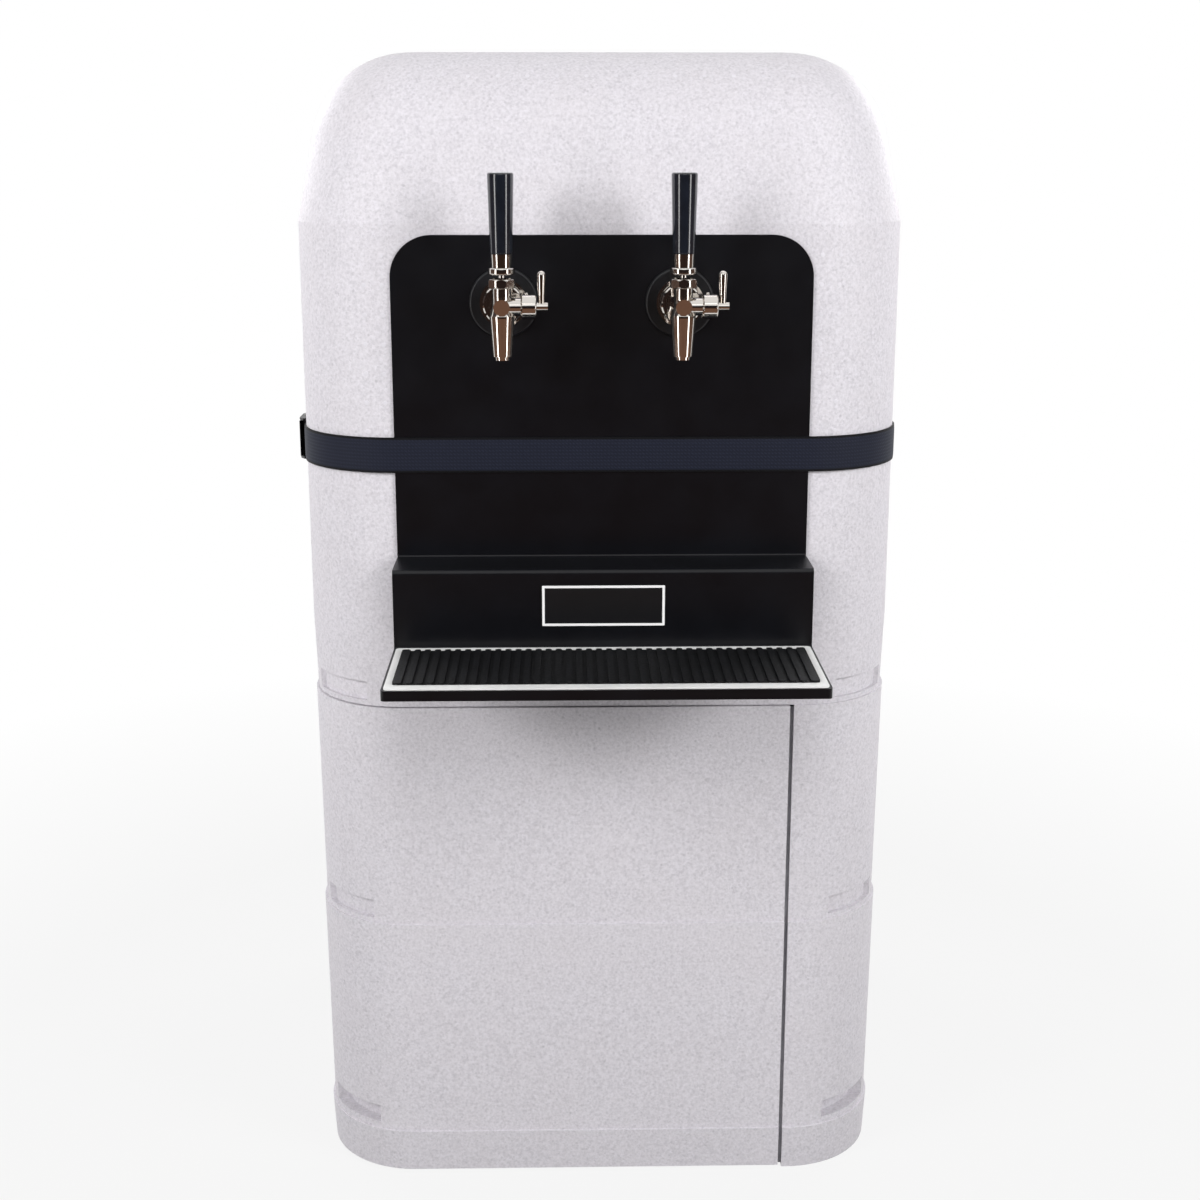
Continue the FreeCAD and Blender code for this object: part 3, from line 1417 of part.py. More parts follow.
def faucet_body(label):
    """The body casting, flared to a rim, with a round boss at the front whose face looks a little down.

    Its origin is on the shank's axis, below the lever, and +Y points back.
    """
    piece = Piece(label)
    rim_top = dim.body_rim - dim.body_bottom
    flare_start = dim.body_bottom_radius - dim.body_rim_step
    upright = piece.sketch("XZ")
    upright.outline((0, -dim.body_bottom), (dim.body_bottom_radius, -dim.body_bottom),
                    (dim.body_bottom_radius, rim_top), (flare_start, rim_top),
                    arc_to(dim.body_neck_radius, dim.body_neck_height, -dim.body_flare),
                    (dim.body_neck_radius, dim.body_top), (0, dim.body_top))
    piece.turn(upright)
    boss = piece.sketch("XZ")
    piece.pad(boss.circle(0, 0, dim.boss_radius), dim.boss_front)
    low, ahead = rim_top + dim.body_rim_step, -dim.boss_front - dim.overrun
    face = piece.sketch("YZ")
    face.outline((-dim.body_bottom_radius, low), (-dim.boss_front, dim.body_neck_height),
                 (ahead, dim.body_neck_height), (ahead, low))
    piece.pocket(face, dim.boss_front * 2, both=True)
    rear = dim.faucet_reach - dim.shank_front - dim.barrel_gap
    barrel = piece.sketch("YZ")
    waist = rear - dim.barrel_thread_length
    barrel.outline((0, 0), (0, dim.barrel_waist), (waist, dim.barrel_waist),
                   (waist, dim.barrel_radius), (rear, dim.barrel_radius), (rear, 0))
    piece.turn(barrel, "H_Axis")
    neck = piece.sketch("YZ")
    neck.circle(0, 0, dim.flow_neck_radius)
    piece.pad(neck, dim.flow_neck_end)
    bore = piece.sketch("YZ")
    chamber = rear - dim.chamber_depth
    bore.outline((-dim.shuttle_bore_front, 0), (-dim.shuttle_bore_front, dim.shuttle_bore),
                 (chamber, dim.shuttle_bore), (chamber, dim.chamber_radius),
                 (rear + dim.overrun, dim.chamber_radius), (rear + dim.overrun, 0))
    piece.bore(bore, "H_Axis")
    ball_top = dim.pivot_rise + dim.ball_bore_rise
    throat = piece.sketch("XZ")
    throat.outline((0, 0), (dim.ball_bore, 0), (dim.ball_bore, ball_top),
                   (dim.throat_radius, dim.body_top), (dim.throat_radius, dim.body_top + dim.overrun),
                   (0, dim.body_top + dim.overrun))
    piece.bore(throat)
    outlet = piece.sketch("XY")
    piece.pocket(outlet.circle(0, 0, dim.spout_bore), dim.body_bottom + dim.overrun)
    return piece


def spout(label):
    """A tapered spout with a stepped tip. Its origin is the faucet body's."""
    top, tip = -dim.body_bottom, -dim.body_bottom - dim.spout_length
    step = tip + dim.spout_step_height
    slope = (dim.body_bottom_radius - dim.spout_tip_radius) / dim.spout_length
    step_radius = dim.spout_tip_radius + slope * dim.spout_step_height
    return turned(label, (dim.spout_bore, tip), (dim.spout_tip_radius - dim.spout_step, tip),
                  (step_radius - dim.spout_step, step), (step_radius, step), (dim.body_bottom_radius, top),
                  (dim.spout_bore, top))


def bonnet(label):
    """The ring that holds the lever's ball: turned with round edges and a flared mouth, with eight flats."""
    bottom, top = dim.body_top, dim.body_top + dim.bonnet_height
    outer, edge = dim.bonnet_radius, dim.bonnet_edge
    piece = turned(label, (dim.throat_radius, bottom), (outer - edge, bottom),
                   arc_to(outer, bottom + edge, edge), (outer, top - edge),
                   arc_to(outer - edge, top, edge), (dim.bonnet_mouth, top))
    flat = piece.sketch("XY", bottom)
    flat.rectangle(dim.bonnet_flat, -outer, outer + dim.overrun, outer)
    piece.repeat_round(piece.pocket(flat, dim.bonnet_height, up=True), "N_Axis", BONNET_FLATS)
    return piece


def lever(label):
    """The lever about its ball: the finger below, the stem, the round collar and the handle's thread."""
    ball, finger, stem = dim.lever_ball, dim.lever_finger, dim.lever_stem
    finger_join = -root(ball * ball - finger * finger)
    stem_join = root(ball * ball - stem * stem)
    collar_top = dim.collar_rise + dim.collar_height
    edge = dim.collar_edge
    return turned(label, (0, -dim.pivot_rise), (finger, -dim.pivot_rise), (finger, finger_join),
                  arc_to(ball, 0, ball), arc_to(stem, stem_join, ball),
                  (stem, dim.collar_rise), (dim.collar_radius - edge, dim.collar_rise),
                  arc_to(dim.collar_radius, dim.collar_rise + edge, edge),
                  (dim.collar_radius, collar_top - edge),
                  arc_to(dim.collar_radius - edge, collar_top, edge),
                  (stem, collar_top), (stem, collar_top + dim.lever_thread),
                  (0, collar_top + dim.lever_thread))


def ferrule(label):
    """The plain ring between the collar and the handle."""
    bore = dim.lever_stem + dim.handle_bore_play
    bottom = dim.collar_rise + dim.collar_height + dim.ferrule_gap
    top = bottom + dim.ferrule_height
    return turned(label, (bore, bottom), (dim.ferrule_bottom_radius, bottom),
                  (dim.ferrule_top_radius, top), (bore, top))


def handle(label):
    """The black tap handle, a little wider at its top, with rounded ends."""
    bore = dim.lever_stem + dim.handle_bore_play
    bottom = dim.collar_rise + dim.collar_height + dim.ferrule_gap + dim.ferrule_height
    top = bottom + dim.handle_height
    bore_top = dim.collar_rise + dim.collar_height + dim.lever_thread + dim.ferrule_gap
    edge = dim.handle_edge
    return turned(label, (bore, bottom), (dim.handle_bottom_radius - edge / 2, bottom),
                  (dim.handle_bottom_radius, bottom + edge / 2), (dim.handle_top_radius, top - edge),
                  arc_to(dim.handle_top_radius - edge, top, edge), (0, top), (0, bore_top),
                  (bore, bore_top))


def shuttle(label):
    """The sliding shaft that the lever's finger moves. Z points back along the shank's axis."""
    piece = Piece(label)
    back = dim.shuttle_back
    stem_end = back + dim.seal_length
    profile = piece.sketch("XZ")
    profile.outline((0, -dim.shuttle_front), (dim.shuttle_radius, -dim.shuttle_front),
                    (dim.shuttle_radius, back), (dim.shuttle_stem, back), (dim.shuttle_stem, stem_end),
                    (dim.shuttle_head, stem_end), (dim.shuttle_head, stem_end + dim.shuttle_head_length),
                    (0, stem_end + dim.shuttle_head_length))
    piece.turn(profile)
    slot = piece.sketch("XZ", dim.shuttle_radius)
    slot.rectangle(-dim.slot_half_width, -dim.slot_half_length, dim.slot_half_width, dim.slot_half_length)
    piece.pocket(slot, dim.shuttle_radius + dim.slot_depth)
    return piece


def shuttle_seal(label):
    """The rubber ring behind the shuttle that shuts on the body's seat."""
    back = dim.shuttle_back
    return turned(label, (dim.shuttle_stem, back), (dim.shuttle_radius, back),
                  (dim.seal_radius, back + dim.seal_length / 2), (dim.seal_radius, back + dim.seal_length),
                  (dim.shuttle_stem, back + dim.seal_length))


def flow_housing(label):
    """The round flow control housing on the faucet's right. Z points right."""
    start, end, edge = dim.flow_neck_end, dim.flow_end, dim.flow_edge
    bore = dim.flow_shaft + dim.flow_shaft_play
    depth = end - dim.flow_shaft_depth
    return turned(label, (0, start), (dim.flow_radius - edge, start), (dim.flow_radius, start + edge),
                  (dim.flow_radius, end - edge), arc_to(dim.flow_radius - edge, end, edge),
                  (bore, end), (bore, depth), (0, depth))


def flow_lever(label):
    """The flow control's thumb lever on its shaft, about the rod's line. Z points right, +X points down."""
    piece = Piece(label)
    hub_start = dim.flow_end + dim.flow_hub_gap - dim.flow_lever_place
    hub_end = dim.flow_hub_end - dim.flow_lever_place
    shaft_start = hub_start - dim.flow_shaft_depth
    profile = piece.sketch("XZ")
    profile.outline((0, shaft_start), (dim.flow_shaft, shaft_start), (dim.flow_shaft, hub_start),
                    (dim.flow_hub, hub_start), (dim.flow_hub, hub_end), (0, hub_end))
    piece.turn(profile)
    foot, head = dim.flow_lever_foot, dim.flow_lever_head
    rod = piece.sketch("XZ")
    rod.outline((0, 0), (0, foot), (head - dim.flow_lever_height, head),
                arc_to(-dim.flow_lever_height, 0, head))
    piece.turn(rod, "H_Axis")
    return piece


def taps():
    """Both taps, piece by piece, with the nuts and tails behind the wall."""
    coupling_nuts, shank_nuts, tail_nuts, tail_pieces = [], [], [], []
    height = tap_height
    inner_wall = -(half_depth - dim.wall)
    shank_end = inner_wall + dim.shank_inside
    for (side, _), x in zip(SIDES, tap_places):
        name = "tap_" + side + "_"
        keep(shank(name + "shank").place(x, -panel_face, height, FORWARD))
        keep(flange(name + "flange").place(x, -panel_face, height, FORWARD))
        keep(faucet_body(name + "faucet_body").place(x, -faucet_place, height))
        keep(spout(name + "spout").place(x, -faucet_place, height))
        keep(bonnet(name + "bonnet").place(x, -faucet_place, height))
        keep(lever(name + "lever").place(x, -faucet_place, height + dim.pivot_rise))
        keep(ferrule(name + "ferrule").place(x, -faucet_place, height + dim.pivot_rise))
        keep(handle(name + "handle").place(x, -faucet_place, height + dim.pivot_rise))
        keep(shuttle(name + "shuttle").place(x, -faucet_place, height, BACKWARD))
        keep(shuttle_seal(name + "shuttle_seal").place(x, -faucet_place, height, BACKWARD))
        keep(flow_housing(name + "flow_housing").place(x, -faucet_place, height, RIGHTWARD))
        keep(flow_lever(name + "flow_lever").place(x + dim.flow_lever_place, -faucet_place, height,
                                                   RIGHTWARD))
        coupling_nuts.append(coupling_nut("coupling_nut_" + side).place(x, -panel_face, height, FORWARD))
        nut = hex_nut("shank_nut_" + side, dim.shank_nut_radius, dim.shank_radius + dim.thread_play,
                      dim.shank_nut_thickness)
        shank_nuts.append(nut.place(x, inner_wall, height, BACKWARD))
        tail_nuts.append(tail_nut("tail_nut_" + side).place(x, shank_end, height, BACKWARD))
        tail_pieces.append(tail_piece("tail_piece_" + side).place(x, shank_end, height, BACKWARD))
    group("coupling_nuts", coupling_nuts)
    group("shank_nuts", shank_nuts)
    group("tail_nuts", tail_nuts)
    group("tail_pieces", tail_pieces)


def check_objects():
    """Stop if any object failed, or a piece isn't a valid solid."""
    document.recompute()
    for item in document.Objects:
        if "Invalid" in item.State or "Error" in item.State:
            raise RuntimeError("%s is in state %s" % (item.Label, item.State))
    for item in exported:
        if item.Shape.isNull() or not item.Shape.isValid() or not item.Shape.Solids:
            raise RuntimeError("%s has no valid solid" % item.Label)


def write_pieces():
    """Write each piece to a file of its own."""
    os.makedirs(OUTPUT_FOLDER, exist_ok=True)
    for item in exported:
        item.Shape.exportStep(os.path.join(OUTPUT_FOLDER, item.Label + ".step"))


fill_sheet()
part_mouldings()
hood()
top_lid()
door_seal()
hinges()
tub_shelf()
ice_tub()
cold_plate()
beer_lines()
inlets()
drain()
font_panel()
mat_base()
drip_mat()
badge_plate()
strap_webbing()
buckle()
taps()
check_objects()
write_pieces()
print("%d pieces written" % len(exported))
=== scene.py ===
import math

import bmesh
import bpy
from mathutils import Matrix, Vector

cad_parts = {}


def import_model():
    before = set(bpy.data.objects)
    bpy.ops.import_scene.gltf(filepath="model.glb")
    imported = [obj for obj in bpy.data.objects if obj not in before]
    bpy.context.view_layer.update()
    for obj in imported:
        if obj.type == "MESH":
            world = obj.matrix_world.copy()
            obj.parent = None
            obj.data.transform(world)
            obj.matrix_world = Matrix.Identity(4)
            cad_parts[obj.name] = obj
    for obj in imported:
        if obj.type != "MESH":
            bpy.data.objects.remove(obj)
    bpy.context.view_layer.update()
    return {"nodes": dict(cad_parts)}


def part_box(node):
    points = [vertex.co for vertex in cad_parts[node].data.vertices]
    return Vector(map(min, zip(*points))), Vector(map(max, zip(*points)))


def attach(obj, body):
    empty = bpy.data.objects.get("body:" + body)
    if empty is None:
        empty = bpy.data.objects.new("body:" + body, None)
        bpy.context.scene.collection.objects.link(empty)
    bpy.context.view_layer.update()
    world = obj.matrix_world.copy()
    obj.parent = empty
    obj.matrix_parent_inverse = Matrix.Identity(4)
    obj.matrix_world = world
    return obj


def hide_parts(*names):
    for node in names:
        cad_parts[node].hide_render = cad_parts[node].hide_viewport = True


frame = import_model()
NODES = frame["nodes"]


# Numbers and colours. Sizes are in millimetres and go through mm(). The stage and the camera are in metres.

MILLIMETRE = 0.001


def mm(length):
    return length * MILLIMETRE


def per_metre(size):
    """The texture scale that gives cells of a size in millimetres."""
    return 1 / mm(size)


def linear(code):
    """A colour written as sRGB hex, as the linear values that shaders take."""
    levels = [int(code[place:place + 2], 16) / 255 for place in (1, 3, 5)]
    return [level / 12.92 if level <= 0.04045 else ((level + 0.055) / 1.055) ** 2.4
            for level in levels] + [1.0]


# Node trees

# The sockets of a Mix node that mixes colours
MIX_FACTOR, MIX_FIRST, MIX_SECOND, MIX_RESULT = 0, 6, 7, 2


def node(tree, kind, inputs=None, stops=(), **settings):
    """Add a node with its settings, and fill or link its inputs by name or place.

    A node given as an input stands for its first output. The stops of a colour ramp are places with a
    colour or a grey level each.
    """
    item = tree.nodes.new(kind)
    for name, setting in settings.items():
        setattr(item, name, setting)
    if stops:
        elements = item.color_ramp.elements
        while len(elements) < len(stops):
            elements.new(0.5)
        for element, (place, colour) in zip(elements, stops):
            element.position = place
            element.color = linear(colour) if isinstance(colour, str) else (colour, colour, colour, 1)
    for name, value in (inputs or {}).items():
        if isinstance(value, bpy.types.Node):
            value = value.outputs[0]
        if isinstance(value, bpy.types.NodeSocket):
            tree.links.new(value, item.inputs[name])
        else:
            item.inputs[name].default_value = value
    return item


def finish(name, **values):
    """A material with its shader. Values are the shader's own sockets, with underscores for spaces."""
    material = bpy.data.materials.new(name)
    material.use_nodes = True
    tree = material.node_tree
    shader = tree.nodes["Principled BSDF"]
    for socket, value in values.items():
        shader.inputs[socket.replace("_", " ")].default_value = value
    return material, tree, shader


def fit(tree, shader, **sources):
    """Link nodes to the shader's sockets, with underscores for spaces."""
    for socket, source in sources.items():
        out = source if isinstance(source, bpy.types.NodeSocket) else source.outputs[0]
        tree.links.new(out, shader.inputs[socket.replace("_", " ")])


def grained(name, tones, cloud, patch, roughness, skin, depth, cloud_detail=2.0, patch_detail=2.0,
            skin_detail=2.0, grit=0.5, **values):
    """A material with noise of three sizes: clouds in its colour, patches of roughness and a bumpy skin.

    The skin is as deep as its depth, and grit is how rough the noise of patches and skin is.
    """
    material, tree, shader = finish(name, **values)
    place = node(tree, "ShaderNodeTexCoord").outputs["Object"]
    clouds = node(tree, "ShaderNodeTexNoise", {"Vector": place, "Scale": per_metre(cloud),
                                               "Detail": cloud_detail})
    patches = node(tree, "ShaderNodeTexNoise", {"Vector": place, "Scale": per_metre(patch),
                                                "Detail": patch_detail, "Roughness": grit})
    bumps = node(tree, "ShaderNodeTexNoise", {"Vector": place, "Scale": per_metre(skin),
                                              "Detail": skin_detail, "Roughness": grit})
    low, high = roughness
    fit(tree, shader,
        Base_Color=node(tree, "ShaderNodeValToRGB", {"Fac": clouds}, tones),
        Roughness=node(tree, "ShaderNodeMapRange", {"Value": patches, "To Min": low, "To Max": high}),
        Normal=node(tree, "ShaderNodeBump", {"Height": bumps, "Distance": mm(depth)}))
    return material


# Materials

# Sizes of the foam's beads, mottle, dust and specks: a little coarser than real, so that they show
BEAD = 4.0
MOTTLE = 3.0
DUST = 1.9
SPECK_SPACING = 13.0
SPECK_SHARE = 0.13
SPECK_CORE = 0.4
FOAM_CLOUD = 70.0
FOAM_SKIN = 2.2
FOAM_GREYS = ((0.3, "#BBB8BF"), (0.5, "#CDCAD0"), (0.7, "#DBD8DF"))
BEAD_GREY, DUST_GREY, SPECK_GREY, WARM_GREY = "#DBD8DD", "#B1AEB5", "#A29FA7", "#CFC8CA"
BEAD_GROOVE = 0.05
BEAD_ROUNDING = 0.25


def bead_foam():
    """Expanded polypropylene from a steam chest: fused grey beads, a fine mottle and a few dark specks."""
    material, tree, shader = finish("expanded polypropylene, fused grey beads", IOR=1.49,
                                    Specular_IOR_Level=0.4)
    place = node(tree, "ShaderNodeTexCoord").outputs["Object"]
    mottle = node(tree, "ShaderNodeTexNoise", {"Vector": place, "Scale": per_metre(MOTTLE), "Detail": 3.0,
                                               "Roughness": 0.6})
    beads = node(tree, "ShaderNodeTexVoronoi", {"Vector": place, "Scale": per_metre(BEAD)})
    bead_pick = node(tree, "ShaderNodeSeparateColor", {0: beads.outputs["Color"]}).outputs["Red"]
    dust = node(tree, "ShaderNodeTexVoronoi", {"Vector": place, "Scale": per_metre(DUST)})
    dust_pick = node(tree, "ShaderNodeSeparateColor", {0: dust.outputs["Color"]}).outputs["Green"]
    specks = node(tree, "ShaderNodeTexVoronoi", {"Vector": place, "Scale": per_metre(SPECK_SPACING)})
    clouds = node(tree, "ShaderNodeTexNoise", {"Vector": place, "Scale": per_metre(FOAM_CLOUD),
                                               "Detail": 3.0})
    layers = (
        (node(tree, "ShaderNodeMapRange", {"Value": bead_pick, "To Min": 0.0, "To Max": 0.3}), BEAD_GREY),
        (node(tree, "ShaderNodeValToRGB", {"Fac": dust_pick}, ((0.88, 0.0), (0.97, 0.4))), DUST_GREY),
        (node(tree, "ShaderNodeValToRGB", {"Fac": specks.outputs["Distance"]},
              ((SPECK_SHARE * SPECK_CORE, 0.5), (SPECK_SHARE, 0.0))), SPECK_GREY),
        (node(tree, "ShaderNodeMapRange", {"Value": clouds, "To Min": 0.0, "To Max": 0.3}), WARM_GREY),
    )
    tone = node(tree, "ShaderNodeValToRGB", {"Fac": mottle}, FOAM_GREYS)
    for share, grey in layers:
        tone = node(tree, "ShaderNodeMix", {MIX_FACTOR: share, MIX_FIRST: tone, MIX_SECOND: linear(grey)},
                    data_type="RGBA").outputs[MIX_RESULT]
    edges = node(tree, "ShaderNodeTexVoronoi", {"Vector": place, "Scale": per_metre(BEAD)},
                 feature="DISTANCE_TO_EDGE").outputs["Distance"]
    rounded = node(tree, "ShaderNodeValToRGB", {"Fac": edges}, ((0.0, 0.0), (BEAD_ROUNDING, 1.0)))
    rounded.color_ramp.interpolation = "EASE"
    skin = node(tree, "ShaderNodeTexNoise", {"Vector": place, "Scale": per_metre(FOAM_SKIN)})
    fit(tree, shader, Base_Color=tone,
        Roughness=node(tree, "ShaderNodeMapRange", {"Value": skin, "To Min": 0.48, "To Max": 0.66}),
        Normal=node(tree, "ShaderNodeBump", {"Height": rounded, "Distance": mm(BEAD_GROOVE)}))
    return material


def powder_coat():
    """Steel sheet with a satin black powder coat: a fine orange-peel skin that softens reflections."""
    return grained("powder coated steel, satin black", ((0.3, "#06060A"), (0.7, "#0A0B10")), cloud=45,
                   cloud_detail=3.0, patch=30, patch_detail=4.0, roughness=(0.3, 0.42), skin=1.6,
                   depth=0.02, IOR=1.5, Specular_IOR_Level=0.4)


def white_sheet():
    """Rigid white vinyl sheet, rolled smooth, with faint handling marks."""
    return grained("rigid vinyl sheet, white", ((0.35, "#E4E4E3"), (0.7, "#F1F1F0")), cloud=25,
                   cloud_detail=4.0, patch=6, roughness=(0.4, 0.55), skin=2.0, depth=0.01, IOR=1.53)


def moulded_rubber(name, dark, light):
    """Compression moulded rubber: matt, with a fine grain left by the mould and dusty high spots."""
    return grained(name, ((0.4, dark), (0.75, light)), cloud=9, cloud_detail=4.0, patch=3,
                   roughness=(0.5, 0.68), skin=0.8, depth=0.03, IOR=1.52, Specular_IOR_Level=0.3)


def glossy_black():
    """Moulded phenolic, polished to a deep black gloss under a clear skin."""
    return grained("moulded phenolic, polished black", ((0.3, "#12151C"), (0.8, "#1B1F28")), cloud=14,
                   cloud_detail=3.0, patch=5, roughness=(0.1, 0.2), skin=7, depth=0.01, IOR=1.6,
                   Coat_Weight=0.6, Coat_Roughness=0.06)


def cast_aluminium():
    """Sand cast aluminium: pale grey, dull, with a grainy skin from the mould."""
    return grained("sand cast aluminium", ((0.3, "#A9ABAD"), (0.7, "#C4C6C8")), cloud=30,
                   cloud_detail=3.0, patch=1.2, patch_detail=4.0, roughness=(0.42, 0.6), skin=1.2,
                   skin_detail=4.0, grit=0.6, depth=0.12, Metallic=1.0)


def moulded_plastic(name, dark, light, roughness):
    """Injection moulded thermoplastic with a fine spark-eroded grain."""
    return grained(name, ((0.3, dark), (0.7, light)), cloud=35, patch=5,
                   roughness=(roughness - 0.06, roughness + 0.08), skin=1.4, depth=0.02, IOR=1.49)


def extruded_hose():
    """Extruded polyethylene tube: milky and see-through, with faint draw lines."""
    return grained("extruded polyethylene tube, milky", ((0.3, "#D5DADC"), (0.7, "#E7EAEB")), cloud=18,
                   patch=4, roughness=(0.25, 0.4), skin=1.5, depth=0.01, IOR=1.5,
                   Transmission_Weight=0.55)


HAIR_LINE = 0.35
HAIR_LINE_DEPTH = 0.004
HAIR_LINE_STRETCH = 0.04
SMUDGE = 11.0


def polished_steel(name, colour, low, high):
    """Steel turned and polished by machine: near mirror with smudges, and hair lines round the axis."""
    material, tree, shader = finish(name, Metallic=1.0, Base_Color=linear(colour))
    place = node(tree, "ShaderNodeTexCoord").outputs["Object"]
    drawn_out = node(tree, "ShaderNodeMapping",
                     {"Vector": place, "Scale": (HAIR_LINE_STRETCH, HAIR_LINE_STRETCH, 1.0)})
    lines = node(tree, "ShaderNodeTexNoise", {"Vector": drawn_out, "Scale": per_metre(HAIR_LINE),
                                              "Detail": 1.0})
    smudge = node(tree, "ShaderNodeTexNoise", {"Vector": place, "Scale": per_metre(SMUDGE), "Detail": 3.0})
    wear = node(tree, "ShaderNodeMath", {0: smudge, 1: smudge}, operation="MULTIPLY")
    fit(tree, shader,
        Roughness=node(tree, "ShaderNodeMapRange", {"Value": wear, "To Min": low, "To Max": high}),
        Normal=node(tree, "ShaderNodeBump", {"Height": lines, "Distance": mm(HAIR_LINE_DEPTH)}))
    return material


# A real thread of this webbing is under 1 mm: drawn coarser so that the weave shows
THREAD = 3.4
THREAD_RELIEF = 0.3
WEBBING_WIDTH = 34.5
SELVEDGE_SHARE = 0.1
SELVEDGE_BLEND = 1.6
FADE_SIZE = 22.0


def webbing():
    """Woven polyester webbing: a twill of warps over wefts between two plain dark edges, with painted shade
    in the weave's hollows.
    """
    material, tree, shader = finish("woven polyester webbing, dark blue-grey", IOR=1.53,
                                    Specular_IOR_Level=0.25)
    parts = node(tree, "ShaderNodeSeparateXYZ", {0: node(tree, "ShaderNodeUVMap", uv_map="webbing")})
    along, across = parts.outputs["X"], parts.outputs["Y"]
    slant = node(tree, "ShaderNodeMath", {0: along, 1: across}, operation="ADD")
    waves = []
    for way in (across, slant):
        turns = node(tree, "ShaderNodeMath", {0: way, 1: 2 * math.pi / mm(THREAD)}, operation="MULTIPLY")
        waves.append(node(tree, "ShaderNodeMath", {0: turns}, operation="SINE"))
    crossed = node(tree, "ShaderNodeMath", dict(enumerate(waves)), operation="ADD")
    weave = node(tree, "ShaderNodeMath", {0: crossed, 1: 0.5}, operation="MULTIPLY")
    height = node(tree, "ShaderNodeMapRange", {"Value": weave, "To Min": 0.5, "To Max": 1.0})
    reach = node(tree, "ShaderNodeMath", {0: across, 1: mm(WEBBING_WIDTH / 2)}, operation="DIVIDE")
    edge = node(tree, "ShaderNodeMath", {0: reach}, operation="ABSOLUTE")
    selvedge = node(tree, "ShaderNodeValToRGB", {"Fac": edge},
                    ((1 - SELVEDGE_SHARE * SELVEDGE_BLEND, 0.0), (1 - SELVEDGE_SHARE, 1.0)))
    clouds = node(tree, "ShaderNodeTexNoise", {"Vector": node(tree, "ShaderNodeTexCoord").outputs["Object"],
                                               "Scale": per_metre(FADE_SIZE), "Detail": 3.0})
    faded = node(tree, "ShaderNodeMapRange", {"Value": clouds, "To Min": 0.0, "To Max": 0.35})
    # The tone follows the weave's height and is darker where the threads dip: painted shade in the hollows of
    # the weave.
    tone = node(tree, "ShaderNodeValToRGB", {"Fac": height}, ((0.0, "#07090F"), (1.0, "#222636")))
    for share, colour in ((faded, "#181C2A"), (selvedge, "#08090D")):
        tone = node(tree, "ShaderNodeMix", {MIX_FACTOR: share, MIX_FIRST: tone, MIX_SECOND: linear(colour)},
                    data_type="RGBA").outputs[MIX_RESULT]
    fit(tree, shader, Base_Color=tone,
        Roughness=node(tree, "ShaderNodeMapRange", {"Value": height, "To Min": 0.75, "To Max": 0.6}),
        Normal=node(tree, "ShaderNodeBump", {"Height": height, "Distance": mm(THREAD_RELIEF),
                                             "Strength": 0.8}))
    return material


BADGE_SIZE = (119.0, 41.0)
BADGE_LINE = 2.4
BADGE_MARGIN = 0.6


def framed_plate(middle):
    """A printed plastic plate: satin black with one plain white line round its edge."""
    material, tree, shader = finish("printed polycarbonate plate", IOR=1.58)
    place = node(tree, "ShaderNodeTexCoord").outputs["Object"]
    centred = node(tree, "ShaderNodeMapping", {"Vector": place, "Location": tuple(-middle)})
    parts = node(tree, "ShaderNodeSeparateXYZ", {0: centred})
    reach = []
    for name, size in zip(("X", "Z"), BADGE_SIZE):
        out = node(tree, "ShaderNodeMath", {0: parts.outputs[name]}, operation="ABSOLUTE")
        reach.append(node(tree, "ShaderNodeMath", {0: out, 1: mm(size / 2 - BADGE_MARGIN)},
                          operation="SUBTRACT"))
    edge = node(tree, "ShaderNodeMath", dict(enumerate(reach)), operation="MAXIMUM")
    inside = node(tree, "ShaderNodeMath", {0: edge, 1: 0.0}, operation="LESS_THAN")
    outer = node(tree, "ShaderNodeMath", {0: edge, 1: -mm(BADGE_LINE)}, operation="GREATER_THAN")
    line = node(tree, "ShaderNodeMath", {0: inside, 1: outer}, operation="MULTIPLY")
    smudge = node(tree, "ShaderNodeTexNoise", {"Vector": place, "Scale": per_metre(8)})
    fit(tree, shader,
        Base_Color=node(tree, "ShaderNodeMix", {MIX_FACTOR: line, MIX_FIRST: linear("#0E0F12"),
                                                MIX_SECOND: linear("#F2F2F2")},
                        data_type="RGBA").outputs[MIX_RESULT],
        Roughness=node(tree, "ShaderNodeMapRange", {"Value": smudge, "To Min": 0.3, "To Max": 0.4}))
    return material


# Finishes by node

def middle_of(name):
    low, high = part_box(name)
    return (Vector(low) + Vector(high)) / 2


FOAM = bead_foam()
BLACK_SHEET = powder_coat()
STEEL = polished_steel("stainless steel, polished", "#D9D4CE", 0.05, 0.2)
TURNED_STEEL = polished_steel("stainless steel, turned", "#BDBAB6", 0.2, 0.38)
ZINC_STEEL = polished_steel("zinc plated steel", "#B9BCC0", 0.25, 0.45)
PHENOLIC = glossy_black()
BLACK_NYLON = moulded_plastic("moulded nylon, black", "#0B0B0D", "#15161A", 0.35)
MAT = moulded_rubber("moulded rubber, black", "#060608", "#0E0F12")
# The seal's grey is lighter than the rubber's own: painted light in the narrow, shaded gap where the door
# seal sits deep.
SEAL_PAINTED_LIGHTER = moulded_rubber("extruded rubber seal, grey lifted as painted light", "#8C8C90", "#A0A0A4")
TUB = moulded_plastic("rotation moulded polyethylene, white", "#DADCDD", "#E8E9E9", 0.45)
BOARD = moulded_plastic("polypropylene board, grey-white", "#C9CACB", "#D6D7D7", 0.5)
DRAIN_PLASTIC = moulded_plastic("moulded polypropylene, white", "#D2D4D4", "#E3E4E3", 0.4)
HOSE = extruded_hose()
ALUMINIUM = cast_aluminium()
WHITE_VINYL = white_sheet()
BADGE = framed_plate(middle_of("badge_plate"))
WEBBING = webbing()
MARK_FOAM = moulded_plastic("expanded polypropylene, pressed skin", "#CFCCD2", "#DAD7DD", 0.5)
THREAD_GREY = moulded_plastic("polyester sewing thread, grey", "#8F929B", "#A5A8B0", 0.6)

